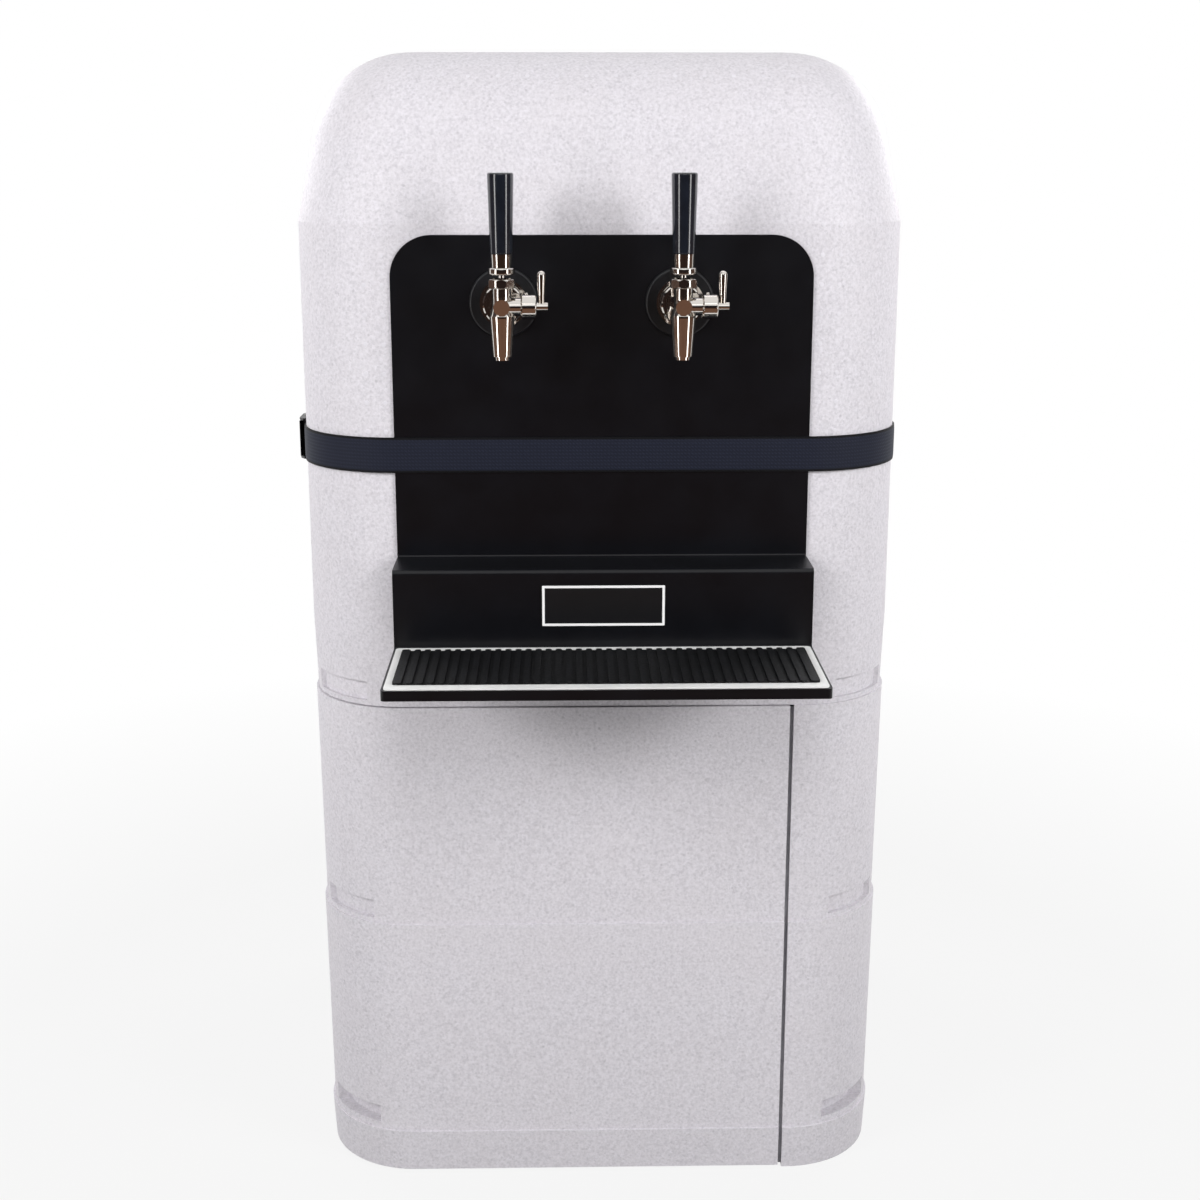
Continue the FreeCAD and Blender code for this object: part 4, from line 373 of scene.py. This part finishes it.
FINISHES = {
    "base_moulding": FOAM, "lower_ring": FOAM, "upper_ring": FOAM, "hood": FOAM, "top_lid": FOAM,
    "door_base": FOAM, "door_lower": FOAM, "door_upper": FOAM, "door_seal": SEAL_PAINTED_LIGHTER,
    "hinge_fixed_plates": ZINC_STEEL, "hinge_door_plates": ZINC_STEEL, "hinge_pins": TURNED_STEEL,
    "tub_shelf": BOARD, "ice_tub": TUB, "cold_plate": ALUMINIUM, "outlet_lines": HOSE, "inlet_lines": HOSE,
    "inlet_fittings": TURNED_STEEL, "inlet_nuts": ZINC_STEEL, "drain_pipe": DRAIN_PLASTIC,
    "drain_nut": DRAIN_PLASTIC, "drain_cock_body": ZINC_STEEL, "drain_cock_lever": BLACK_NYLON,
    "font_panel": BLACK_SHEET, "badge_plate": BADGE, "mat_base": WHITE_VINYL, "drip_mat": MAT,
    "strap_webbing": WEBBING, "buckle_frame": BLACK_SHEET, "buckle_cam": BLACK_SHEET,
    "buckle_pin": TURNED_STEEL, "coupling_nuts": STEEL, "shank_nuts": ZINC_STEEL, "tail_nuts": ZINC_STEEL,
    "tail_pieces": TURNED_STEEL,
}
TAP_FINISHES = {
    "shank": STEEL, "flange": BLACK_NYLON, "faucet_body": STEEL, "spout": STEEL, "bonnet": STEEL,
    "lever": STEEL, "ferrule": STEEL, "handle": PHENOLIC, "shuttle": TURNED_STEEL, "shuttle_seal": SEAL_PAINTED_LIGHTER,
    "flow_housing": STEEL, "flow_lever": STEEL,
}
TAPS = ("left", "right")


def dress(item, material):
    """Give a whole piece one material."""
    item.data.materials.clear()
    item.data.materials.append(material)


for name, material in FINISHES.items():
    dress(NODES[name], material)
for side in TAPS:
    for part, material in TAP_FINISHES.items():
        dress(NODES["tap_%s_%s" % (side, part)], material)


# Making pieces

SHARP_ANGLE = 35
NEVER_SHARP = 180


def new_piece(name, mesh, material):
    item = bpy.data.objects.new(name, mesh)
    bpy.context.collection.objects.link(item)
    dress(item, material)
    return item


def smooth(mesh, angle):
    """Shade a mesh smooth, apart from edges sharper than an angle in degrees."""
    mesh.polygons.foreach_set("use_smooth", [True] * len(mesh.polygons))
    mesh.set_sharp_from_angle(angle=math.radians(angle))


def from_bmesh(name, work, material, angle=SHARP_ANGLE):
    bmesh.ops.recalc_face_normals(work, faces=work.faces)
    mesh = bpy.data.meshes.new(name)
    work.to_mesh(mesh)
    work.free()
    smooth(mesh, angle)
    return new_piece(name, mesh, material)


# Strap

STRAP_THICKNESS = 1.6
STRAP_CORNER = 102.0
STRAP_CORNER_STEPS = 16
STRAP_STEPS_ACROSS = 8
STRAP_EDGE_STEP = 12.0
STRAP_SHARP_ANGLE = 50

# The webbing's face falls away by this much towards its edges, and as late as the power says
EDGE_SINK = 0.35
EDGE_POWER = 6

# Where the sewn end and the tail run along the left side, and how far the tail's free end stands off
LAYER_GAP = 0.15
LAYER_STEP = 3.0
SEWN_ENDS = (-158.0, -82.0)
TAIL_ENDS = (-160.0, -121.0)
TAIL_LIFT = 2.6
TAIL_CURVE = 3


def strap_route(low, high, radius):
    """Points and outward directions once round a rounded rectangle, seen from above."""
    points = []
    corners = ((high.x, low.y, -90), (high.x, high.y, 0), (low.x, high.y, 90), (low.x, low.y, 180))
    signs = ((-1, 1), (-1, -1), (1, -1), (1, 1))
    for (x, y, start), (sign_x, sign_y) in zip(corners, signs):
        centre = Vector((x + radius * sign_x, y + radius * sign_y))
        for step in range(STRAP_CORNER_STEPS + 1):
            turn = math.radians(start + 90 * step / STRAP_CORNER_STEPS)
            out = Vector((math.cos(turn), math.sin(turn)))
            points.append((centre + out * radius, out))
    return points


def with_straights(points):
    """Fill the straight runs of a closed route with evenly spaced points."""
    filled = []
    for place, (point, out) in enumerate(points):
        filled.append((point, out))
        after = points[(place + 1) % len(points)][0]
        count = int((after - point).length / mm(STRAP_EDGE_STEP))
        for step in range(1, count + 1):
            filled.append((point.lerp(after, step / (count + 1)), out))
    return filled


def face_row(work, point, out, half, middle):
    """Points over the webbing's outer face from its lower to its upper edge, a little sunk at both."""
    row = []
    for step in range(STRAP_STEPS_ACROSS + 1):
        across = -half + 2 * half * step / STRAP_STEPS_ACROSS
        sink = mm(EDGE_SINK) * (abs(across) / half) ** EDGE_POWER
        row.append(work.verts.new((point.x - out.x * sink, point.y - out.y * sink, middle + across)))
    return row


def bridge(work, row, after):
    """Faces between two closed rows of points. They are given back in order."""
    return [work.faces.new((row[spot - 1], row[spot], after[spot], after[spot - 1]))
            for spot in range(len(row))]


def strap():
    """The webbing round the hood: one closed band with its weave laid out along it."""
    low, high = (Vector(corner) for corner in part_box("strap_webbing"))
    route = with_straights(strap_route(low, high, mm(STRAP_CORNER)))
    half, middle = (high.z - low.z) / 2, (high.z + low.z) / 2
    work = bmesh.new()
    layer = work.loops.layers.uv.new("webbing")
    rows, run, length = [], [], 0.0
    previous = route[0][0]
    for point, out in route:
        length += (point - previous).length
        previous = point
        run.append(length)
        row = face_row(work, point, out, half, middle)
        thick = Vector((out.x, out.y, 0)) * mm(STRAP_THICKNESS)
        inner = [work.verts.new(vert.co - thick) for vert in (row[0], row[-1])]
        rows.append([inner[0]] + row + [inner[1]])
    run.append(length + (route[0][0] - previous).length)
    for place, row in enumerate(rows):
        alongs = (run[place], run[place], run[place + 1], run[place + 1])
        for face in bridge(work, row, rows[(place + 1) % len(rows)]):
            for loop, along in zip(face.loops, alongs):
                loop[layer].uv = (along, loop.vert.co.z - middle)
    item = from_bmesh("strap", work, WEBBING, STRAP_SHARP_ANGLE)
    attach(item, "root")
    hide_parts("strap_webbing")


def strap_layer(name, outside, ends, lift):
    """A flat length of the webbing laid over the left run, its free end lifted a little off it."""
    low, high = (Vector(corner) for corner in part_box("strap_webbing"))
    half, middle = (high.z - low.z) / 2, (high.z + low.z) / 2
    count = int((ends[1] - ends[0]) / LAYER_STEP)
    work = bmesh.new()
    layer = work.loops.layers.uv.new("webbing")
    rows = []
    for step in range(count + 1):
        share = step / count
        y = mm(ends[0]) + mm(ends[1] - ends[0]) * share
        x = low.x - mm(outside) - mm(lift) * share ** TAIL_CURVE
        row = face_row(work, Vector((x - mm(STRAP_THICKNESS), y)), Vector((-1, 0)), half, middle)
        rows.append([work.verts.new((x, y, middle - half))] + row + [work.verts.new((x, y, middle + half))])
    for row, after in zip(rows, rows[1:]):
        bridge(work, row, after)
    work.faces.new(rows[0])
    work.faces.new(list(reversed(rows[-1])))
    for face in work.faces:
        for loop in face.loops:
            loop[layer].uv = (loop.vert.co.y, loop.vert.co.z - middle)
    item = from_bmesh(name, work, WEBBING, STRAP_SHARP_ANGLE)
    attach(item, "root")
    return item


strap()
SEWN_END = strap_layer("strap_sewn_end", LAYER_GAP, SEWN_ENDS, 0)
strap_layer("strap_tail", LAYER_GAP * 2 + STRAP_THICKNESS, TAIL_ENDS, TAIL_LIFT)


# Small pieces in rows, and threads

def new_tree(name, **inputs):
    """An empty Geometry Nodes tree with named inputs, and the sockets that give them."""
    tree = bpy.data.node_groups.new(name, "GeometryNodeTree")
    tree.interface.new_socket("Geometry", in_out="INPUT", socket_type="NodeSocketGeometry")
    for label, kind in inputs.items():
        tree.interface.new_socket(label, in_out="INPUT", socket_type="NodeSocket" + kind)
    tree.interface.new_socket("Geometry", in_out="OUTPUT", socket_type="NodeSocketGeometry")
    return tree, node(tree, "NodeGroupInput").outputs


def close_tree(tree, given, made):
    """End a tree: join what it made to what came in, make all of it real and give it its material."""
    joined = node(tree, "GeometryNodeJoinGeometry")
    for geometry in (given["Geometry"], made.outputs[0]):
        tree.links.new(geometry, joined.inputs["Geometry"])
    real = node(tree, "GeometryNodeRealizeInstances", {"Geometry": joined})
    dressed = node(tree, "GeometryNodeSetMaterial", {"Geometry": real, "Material": given["Material"]})
    node(tree, "NodeGroupOutput", {"Geometry": dressed})
    return tree


# How far a row's aim looks for its surface, in metres
AIM_REACH = 1.0


def row_tree():
    """Copies of a small piece in a straight row, dropped along an aim onto a surface and facing off it."""
    tree, given = new_tree("row on a surface", Piece="Object", Surface="Object", Material="Material",
                           Count="Int", Start="Vector", Step="Vector", Aim="Vector", Along="Vector")
    line = node(tree, "GeometryNodeMeshLine", {"Count": given["Count"], "Start Location": given["Start"],
                                               "Offset": given["Step"]})
    surface = node(tree, "GeometryNodeObjectInfo", {"Object": given["Surface"]}).outputs["Geometry"]
    hit = node(tree, "GeometryNodeRaycast", {"Target Geometry": surface, "Ray Direction": given["Aim"],
                                             "Ray Length": AIM_REACH})
    kept = node(tree, "GeometryNodeCaptureAttribute", {"Geometry": line})
    kept.capture_items.new("VECTOR", "Facing")
    tree.links.new(hit.outputs["Hit Normal"], kept.inputs["Facing"])
    dropped = node(tree, "GeometryNodeSetPosition", {"Geometry": kept.outputs["Geometry"],
                                                     "Position": hit.outputs["Hit Position"]})
    turned = node(tree, "FunctionNodeAlignRotationToVector", {"Vector": given["Along"]}, axis="Y")
    facing = node(tree, "FunctionNodeAlignRotationToVector",
                  {"Rotation": turned, "Vector": kept.outputs["Facing"]}, axis="Z")
    piece = node(tree, "GeometryNodeObjectInfo", {"Object": given["Piece"]}).outputs["Geometry"]
    placed = node(tree, "GeometryNodeInstanceOnPoints", {"Points": dropped, "Instance": piece,
                                                         "Rotation": facing})
    return close_tree(tree, given, placed)


THREAD_STEPS = 32
DIAMOND_SIDES = 4


def thread_tree():
    """A screw thread: a ridge of diamond section along a spiral, turned to run along +Y from its start."""
    tree, given = new_tree("screw thread", Material="Material", Radius="Float", Pitch="Float",
                           Turns="Float", Start="Vector")
    length = node(tree, "ShaderNodeMath", {0: given["Pitch"], 1: given["Turns"]}, operation="MULTIPLY")
    spiral = node(tree, "GeometryNodeCurveSpiral", {"Resolution": THREAD_STEPS, "Rotations": given["Turns"],
                                                    "Start Radius": given["Radius"],
                                                    "End Radius": given["Radius"], "Height": length})
    upright = node(tree, "GeometryNodeSetCurveNormal", {"Curve": spiral}, mode="Z_UP")
    half_pitch = node(tree, "ShaderNodeMath", {0: given["Pitch"], 1: 0.5}, operation="MULTIPLY")
    ridge = node(tree, "GeometryNodeCurvePrimitiveCircle", {"Resolution": DIAMOND_SIDES,
                                                            "Radius": half_pitch})
    swept = node(tree, "GeometryNodeCurveToMesh", {"Curve": upright, "Profile Curve": ridge,
                                                   "Fill Caps": True})
    laid = node(tree, "GeometryNodeTransform", {"Geometry": swept, "Translation": given["Start"],
                                                "Rotation": (-math.pi / 2, 0, 0)})
    return close_tree(tree, given, laid)


def grown(name, tree, material, body, runs, angle=SHARP_ANGLE):
    """The plain mesh that a tree makes, with one modifier for each run of sizes."""
    item = new_piece(name, bpy.data.meshes.new(name), material)
    for sizes in runs:
        modifier = item.modifiers.new(tree.name, "NODES")
        modifier.node_group = tree
        for socket in tree.interface.items_tree:
            value = material if socket.name == "Material" else sizes.get(socket.name)
            if value is not None:
                modifier[socket.identifier] = value
    view = bpy.context.evaluated_depsgraph_get()
    mesh = bpy.data.meshes.new_from_object(item.evaluated_get(view), depsgraph=view)
    item.modifiers.clear()
    item.data = mesh
    smooth(mesh, angle)
    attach(item, body)


SCREW_SEGMENTS = 24


def turned_profile(work, profile, segments):
    """Rings round +Z through points of a radius and a height in millimetres. The last ring is given back."""
    ring = []
    for radius, height in profile:
        last, ring = ring, []
        for step in range(segments):
            turn = 2 * math.pi * step / segments
            ring.append(work.verts.new((mm(radius) * math.cos(turn), mm(radius) * math.sin(turn),
                                        mm(height))))
        if last:
            bridge(work, last, ring)
    return ring


# A pan head's outline in shares of its radius and rise, and how far its rim reaches into what carries it
PAN_HEAD = ((1.0, 0.5), (0.9, 0.85), (0.72, 1.0))
HEAD_SEAT = 0.2
HEAD_SHARP_ANGLE = 30


def screw_head(radius, rise, arm, arm_width, depth):
    """A pan head with a cross recess, in millimetres, seated on Z = 0."""
    work = bmesh.new()
    profile = [(radius, -HEAD_SEAT)] + [(radius * out, rise * up) for out, up in PAN_HEAD]
    rim = turned_profile(work, profile, SCREW_SEGMENTS)
    half = arm_width / 2
    corner = ((arm, -half), (arm, half), (half, half))
    cross = []
    for quarter in range(4):
        turn = Matrix.Rotation(math.radians(90 * quarter), 4, "Z")
        cross += [work.verts.new(turn @ Vector((mm(x), mm(y), mm(rise)))) for x, y in corner]
    floor_ring = [work.verts.new(vert.co - Vector((0, 0, mm(depth)))) for vert in cross]
    edges = [work.edges.get((rim[place - 1], rim[place])) for place in range(len(rim))]
    edges += [work.edges.new((cross[place - 1], cross[place])) for place in range(len(cross))]
    bmesh.ops.triangle_fill(work, use_beauty=True, edges=edges)
    bridge(work, cross, floor_ring)
    work.faces.new(floor_ring)
    return from_bmesh("screw head", work, ZINC_STEEL, HEAD_SHARP_ANGLE)


BUTTON_SEAT = 0.3
BUTTON_ARC = (0, 30, 60, 90)


def low_button(radius, rise, edge):
    """A low round button with a rounded rim, in millimetres, seated on Z = 0."""
    work = bmesh.new()
    profile = [(radius, -BUTTON_SEAT)]
    for step in map(math.radians, BUTTON_ARC):
        profile.append((radius - edge + edge * math.cos(step), rise - edge + edge * math.sin(step)))
    work.faces.new(turned_profile(work, profile, SCREW_SEGMENTS))
    return from_bmesh("button", work, MARK_FOAM)


ROW = row_tree()
THREADS = thread_tree()

# The prints that the mould's vents leave in the foam: one row on the crown, two columns at each corner
MARK_PITCH = 28.1
MARK_ROW = 14
MARK_COLUMN = 8
MARK_TOP = 1003.0
MARK_ANGLES = (16.0, 5.7)
CORNER_CENTRE = 200.0
CORNER_REACH = 160.0
CROWN_START = (-283.5, 1167.0)
CROWN_AIM = (0.0, 0.743, -0.669)


def vent_marks():
    """Small prints in a row along the front of the crown and in columns down the front corners."""
    button = low_button(radius=2.2, rise=0.3, edge=0.25)
    across = MARK_PITCH * (MARK_ROW - 1) / 2
    runs = [{"Count": MARK_ROW, "Start": (mm(-across), *map(mm, CROWN_START)),
             "Step": (mm(MARK_PITCH), 0, 0), "Aim": CROWN_AIM}]
    for sign in (-1, 1):
        for angle in MARK_ANGLES:
            out = Vector((sign * math.sin(math.radians(angle)), -math.cos(math.radians(angle)), 0))
            start = Vector((sign * CORNER_CENTRE, -CORNER_CENTRE, MARK_TOP)) + out * CORNER_REACH
            runs.append({"Count": MARK_COLUMN, "Start": tuple(start * MILLIMETRE),
                         "Step": (0, 0, -mm(MARK_PITCH)), "Aim": tuple(-out)})
    for run in runs:
        run.update(Piece=button, Surface=NODES["hood"])
    grown("vent_marks", ROW, MARK_FOAM, "root", runs)
    bpy.data.objects.remove(button)


HINGE_LINE = -100.0
HINGE_HEIGHTS = (130.0, 410.0)
HINGE_SCREWS = 3
HINGE_SCREW_OUT = 21.0
HINGE_SCREW_PITCH = 20.0
HINGE_START = -330.0


def hinge_screws():
    """Three screws in each leaf of both hinges."""
    head = screw_head(radius=3.6, rise=1.5, arm=1.9, arm_width=0.9, depth=0.9)
    for name, body, sign, plates in (("hinge_screws_fixed", "root", 1, "hinge_fixed_plates"),
                                     ("hinge_screws_door", "door", -1, "hinge_door_plates")):
        y = HINGE_LINE + sign * HINGE_SCREW_OUT
        runs = [{"Piece": head, "Surface": NODES[plates], "Count": HINGE_SCREWS, "Aim": (1, 0, 0),
                 "Start": (mm(HINGE_START), mm(y), mm(height - HINGE_SCREW_PITCH)),
                 "Step": (0, 0, mm(HINGE_SCREW_PITCH))} for height in HINGE_HEIGHTS]
        grown(name, ROW, ZINC_STEEL, body, runs)
    bpy.data.objects.remove(head)


TAP_PLACES = (-94.0, 74.0)
TAP_HEIGHT = 931.0
REAR_FACE = 300.0
INLET_FLANGE = 4.0
INLET_THREAD = 11.0
INLET_PITCH = 1.8
INLET_TURNS = 10.0


def inlet_threads():
    """The threads of both inlets, where a beer line is screwed on."""
    start = REAR_FACE + INLET_FLANGE + INLET_PITCH / 2
    runs = [{"Radius": mm(INLET_THREAD), "Pitch": mm(INLET_PITCH), "Turns": INLET_TURNS,
             "Start": (mm(x), mm(start), mm(TAP_HEIGHT))} for x in TAP_PLACES]
    grown("inlet_threads", THREADS, TURNED_STEEL, "root", runs)


STITCH_LENGTH = 2.6
STITCH_PITCH = 3.4
STITCH_INSET = 4.0
STITCH_ROWS = (-116.0, -85.0)
STITCH_SEGMENTS = 8
STITCH_START_OFF = 20.0

# A stitch's thickness in millimetres along its length, in shares of it
STITCH_SHAPE = ((0.01, -0.5), (0.35, -0.25), (0.42, 0), (0.35, 0.25), (0.01, 0.5))


def stitch():
    """One stitch lying along +Y: a short length of thread with both ends drawn into the cloth."""
    work = bmesh.new()
    profile = [(thick, STITCH_LENGTH * place) for thick, place in STITCH_SHAPE]
    turned_profile(work, profile, STITCH_SEGMENTS)
    bmesh.ops.rotate(work, verts=work.verts, matrix=Matrix.Rotation(math.radians(90), 3, "X"))
    return from_bmesh("stitch", work, THREAD_GREY, NEVER_SHARP)


def strap_stitches():
    """The square of stitches with its cross that holds the strap's sewn end."""
    low, high = (Vector(corner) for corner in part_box("strap_webbing"))
    start, end = map(mm, STITCH_ROWS)
    bottom, top = low.z + mm(STITCH_INSET), high.z - mm(STITCH_INSET)
    corners = [Vector((0, y, z)) for y, z in ((start, bottom), (end, bottom), (end, top), (start, top))]
    off = Vector((low.x - mm(STITCH_START_OFF), 0, 0))
    piece = stitch()
    runs = []
    for first, last in ((0, 1), (1, 2), (2, 3), (3, 0), (0, 2), (1, 3)):
        way = corners[last] - corners[first]
        count = round(way.length / mm(STITCH_PITCH))
        step = way / count
        runs.append({"Piece": piece, "Surface": SEWN_END, "Count": count,
                     "Start": tuple(corners[first] + step / 2 + off), "Step": tuple(step),
                     "Aim": (1, 0, 0), "Along": tuple(way)})
    grown("strap_stitches", ROW, THREAD_GREY, "root", runs, NEVER_SHARP)
    bpy.data.objects.remove(piece)


FAUCET_PLACE = -354.0
SET_SCREW_PLACE = 22.8
SET_SCREW_HEIGHT = 970.0


def set_screws():
    """The small button that holds each flow control's drum, on its top."""
    button = low_button(radius=1.6, rise=1.5, edge=0.8)
    runs = [{"Piece": button, "Surface": NODES["tap_%s_flow_housing" % side], "Count": 1, "Aim": (0, 0, -1),
             "Start": (mm(x + SET_SCREW_PLACE), mm(FAUCET_PLACE), mm(SET_SCREW_HEIGHT))}
            for side, x in zip(TAPS, TAP_PLACES)]
    grown("flow_set_screws", ROW, STEEL, "root", runs)
    bpy.data.objects.remove(button)


vent_marks()
hinge_screws()
inlet_threads()
strap_stitches()
set_screws()


# Stage

FLOOR_GREY = "#A8A8A7"
FLOOR_REACH = 14.0
FLOOR_GLOW = 0.86
FADE_START = 0.75
FADE_END = 1.7
WHITE = (1, 1, 1, 1)
WORLD_LIGHT = 0.24


def seen_directly(tree):
    """One for what the camera sees, straight or by way of metal or glass, and nought for light on things."""
    rays = node(tree, "ShaderNodeLightPath").outputs
    seen = rays["Is Camera Ray"]
    for kind in ("Is Glossy Ray", "Is Transmission Ray"):
        seen = node(tree, "ShaderNodeMath", {0: seen, 1: rays[kind]}, operation="MAXIMUM")
    return seen


def show(tree, surface):
    """Make a node the surface of its material."""
    output = next(item for item in tree.nodes if item.type == "OUTPUT_MATERIAL")
    tree.links.new(surface.outputs[0], output.inputs["Surface"])


def stage_plane(name, material, *corners):
    mesh = bpy.data.meshes.new(name)
    mesh.from_pydata(corners, [], [(0, 1, 2, 3)])
    item = new_piece(name, mesh, material)
    return item


def floor():
    """A pale floor that keeps the soft shadow close to the object and turns plain white further out."""
    material, tree, shader = finish("studio floor", Base_Color=linear(FLOOR_GREY), Roughness=0.9,
                                    Specular_IOR_Level=0.1)
    place = node(tree, "ShaderNodeTexCoord").outputs["Object"]
    away = node(tree, "ShaderNodeVectorMath", {0: place}, operation="LENGTH").outputs["Value"]
    fade = node(tree, "ShaderNodeMapRange", {"Value": away, "From Min": FADE_START, "From Max": FADE_END,
                                             "To Min": FLOOR_GLOW, "To Max": 1.0})
    share = node(tree, "ShaderNodeMath", {0: seen_directly(tree), 1: fade}, operation="MULTIPLY")
    glow = node(tree, "ShaderNodeEmission", {"Color": WHITE})
    show(tree, node(tree, "ShaderNodeMixShader", {0: share, 1: shader, 2: glow}))
    reach = FLOOR_REACH
    stage_plane("floor", material, (-reach, -reach, 0), (reach, -reach, 0), (reach, reach, 0),
                (-reach, reach, 0))


# Boards round the camera: how far they stand, and the height over which their tone changes
BOARD_BACK = -4.5
BOARD_SIDE = 3.6
BOARD_TOP = 3.2
BOARD_FADE = 1.2
SIDE_BOARD_END = 0.6
FLOOR_BOARD_END = -1.0
FLOOR_BOARD_LIFT = 0.002


def board(name, low, high, *corners):
    """A dark board that only polished surfaces see, shaded from a tone at the floor to one higher up."""
    material, tree, _ = finish(name)
    parts = node(tree, "ShaderNodeSeparateXYZ", {0: node(tree, "ShaderNodeTexCoord").outputs["Object"]})
    height = node(tree, "ShaderNodeMapRange", {"Value": parts.outputs["Z"], "From Max": BOARD_FADE})
    tone = node(tree, "ShaderNodeValToRGB", {"Fac": height}, ((0.0, low), (1.0, high)))
    show(tree, node(tree, "ShaderNodeEmission", {"Color": tone}))
    item = stage_plane(name, material, *corners)
    item.visible_camera = item.visible_diffuse = item.visible_shadow = item.visible_transmission = False


def boards():
    wide, back, top, lift = BOARD_SIDE, BOARD_BACK, BOARD_TOP, FLOOR_BOARD_LIFT
    board("rear flag", "#3A2A20", "#1B1A1F", (-wide, back, 0), (wide, back, 0), (wide, back, top),
          (-wide, back, top))
    for name, side in (("left flag", -wide), ("right flag", wide)):
        board(name, "#6B5142", "#4A4140", (side, back, 0), (side, SIDE_BOARD_END, 0),
              (side, SIDE_BOARD_END, top), (side, back, top))
    board("floor board", "#765848", "#765848", (-wide, back, lift), (wide, back, lift),
          (wide, FLOOR_BOARD_END, lift), (-wide, FLOOR_BOARD_END, lift))


def world():
    """A white studio: plain white to the camera and in reflections, dimmer as a light."""
    studio = bpy.data.worlds.new("studio")
    studio.use_nodes = True
    tree = studio.node_tree
    background = tree.nodes["Background"]
    background.inputs["Color"].default_value = WHITE
    strength = node(tree, "ShaderNodeMapRange", {"Value": seen_directly(tree), "To Min": WORLD_LIGHT,
                                                 "To Max": 1.0})
    tree.links.new(strength.outputs[0], background.inputs["Strength"])
    bpy.context.scene.world = studio


# Lamps: name, place, what it points at, width and height, watts. Each of the side lamps stands on both sides.
TOP_LAMP = ("top softbox", (0, 0.8, 2.6), (0, 0.1, 1.1), (1.6, 0.9), 8)
FRONT_LAMP = ("front fill", (0, -3.4, 2.3), (0, 0, 0.8), (2.0, 1.2), 8)
SIDE_LAMPS = (
    ("strip", (1.45, -1.45, 1.05), (0.2, -0.3, 1.0), (0.3, 1.3), 7),
    ("softbox", (1.8, -1.55, 1.7), (0.15, -0.3, 1.2), (1.3, 0.9), 36),
    ("rear softbox", (1.8, 1.9, 1.8), (0, 0.2, 0.9), (1.3, 0.9), 30),
)
UNSEEN_IN_METAL = ("left softbox", "right softbox")


def lamp(name, place, aim, size, power):
    data = bpy.data.lights.new(name, "AREA")
    data.shape = "RECTANGLE"
    data.size, data.size_y = size
    data.energy = power
    item = bpy.data.objects.new(name, data)
    item.location = place
    item.rotation_euler = (Vector(aim) - Vector(place)).to_track_quat("-Z", "Y").to_euler()
    item.visible_glossy = name not in UNSEEN_IN_METAL
    bpy.context.collection.objects.link(item)


def lights():
    lamp(*TOP_LAMP)
    for side, sign in (("left", -1), ("right", 1)):
        for name, (x, *place), (aim_x, *aim), size, power in SIDE_LAMPS:
            lamp("%s %s" % (side, name), (x * sign, *place), (aim_x * sign, *aim), size, power)
    lamp(*FRONT_LAMP)


CAMERA_PLACE = (-0.038, -2.014, 1.071)
CAMERA_DOWN = 14.2
CAMERA_RIGHT = 1.2
FOCAL_PIXELS = 1775.0
FRAME_PIXELS = 1200.0
SENSOR = 36.0


def camera():
    """The photograph's view: a level horizon, seen a little from above."""
    data = bpy.data.cameras.new("camera")
    data.sensor_width = SENSOR
    data.lens = SENSOR * FOCAL_PIXELS / FRAME_PIXELS
    item = bpy.data.objects.new("camera", data)
    item.location = CAMERA_PLACE
    item.rotation_euler = (math.radians(90 - CAMERA_DOWN), 0, math.radians(-CAMERA_RIGHT))
    bpy.context.collection.objects.link(item)
    bpy.context.scene.camera = item


floor()
boards()
world()
lights()
camera()
bpy.context.scene.view_settings.view_transform = "Standard"
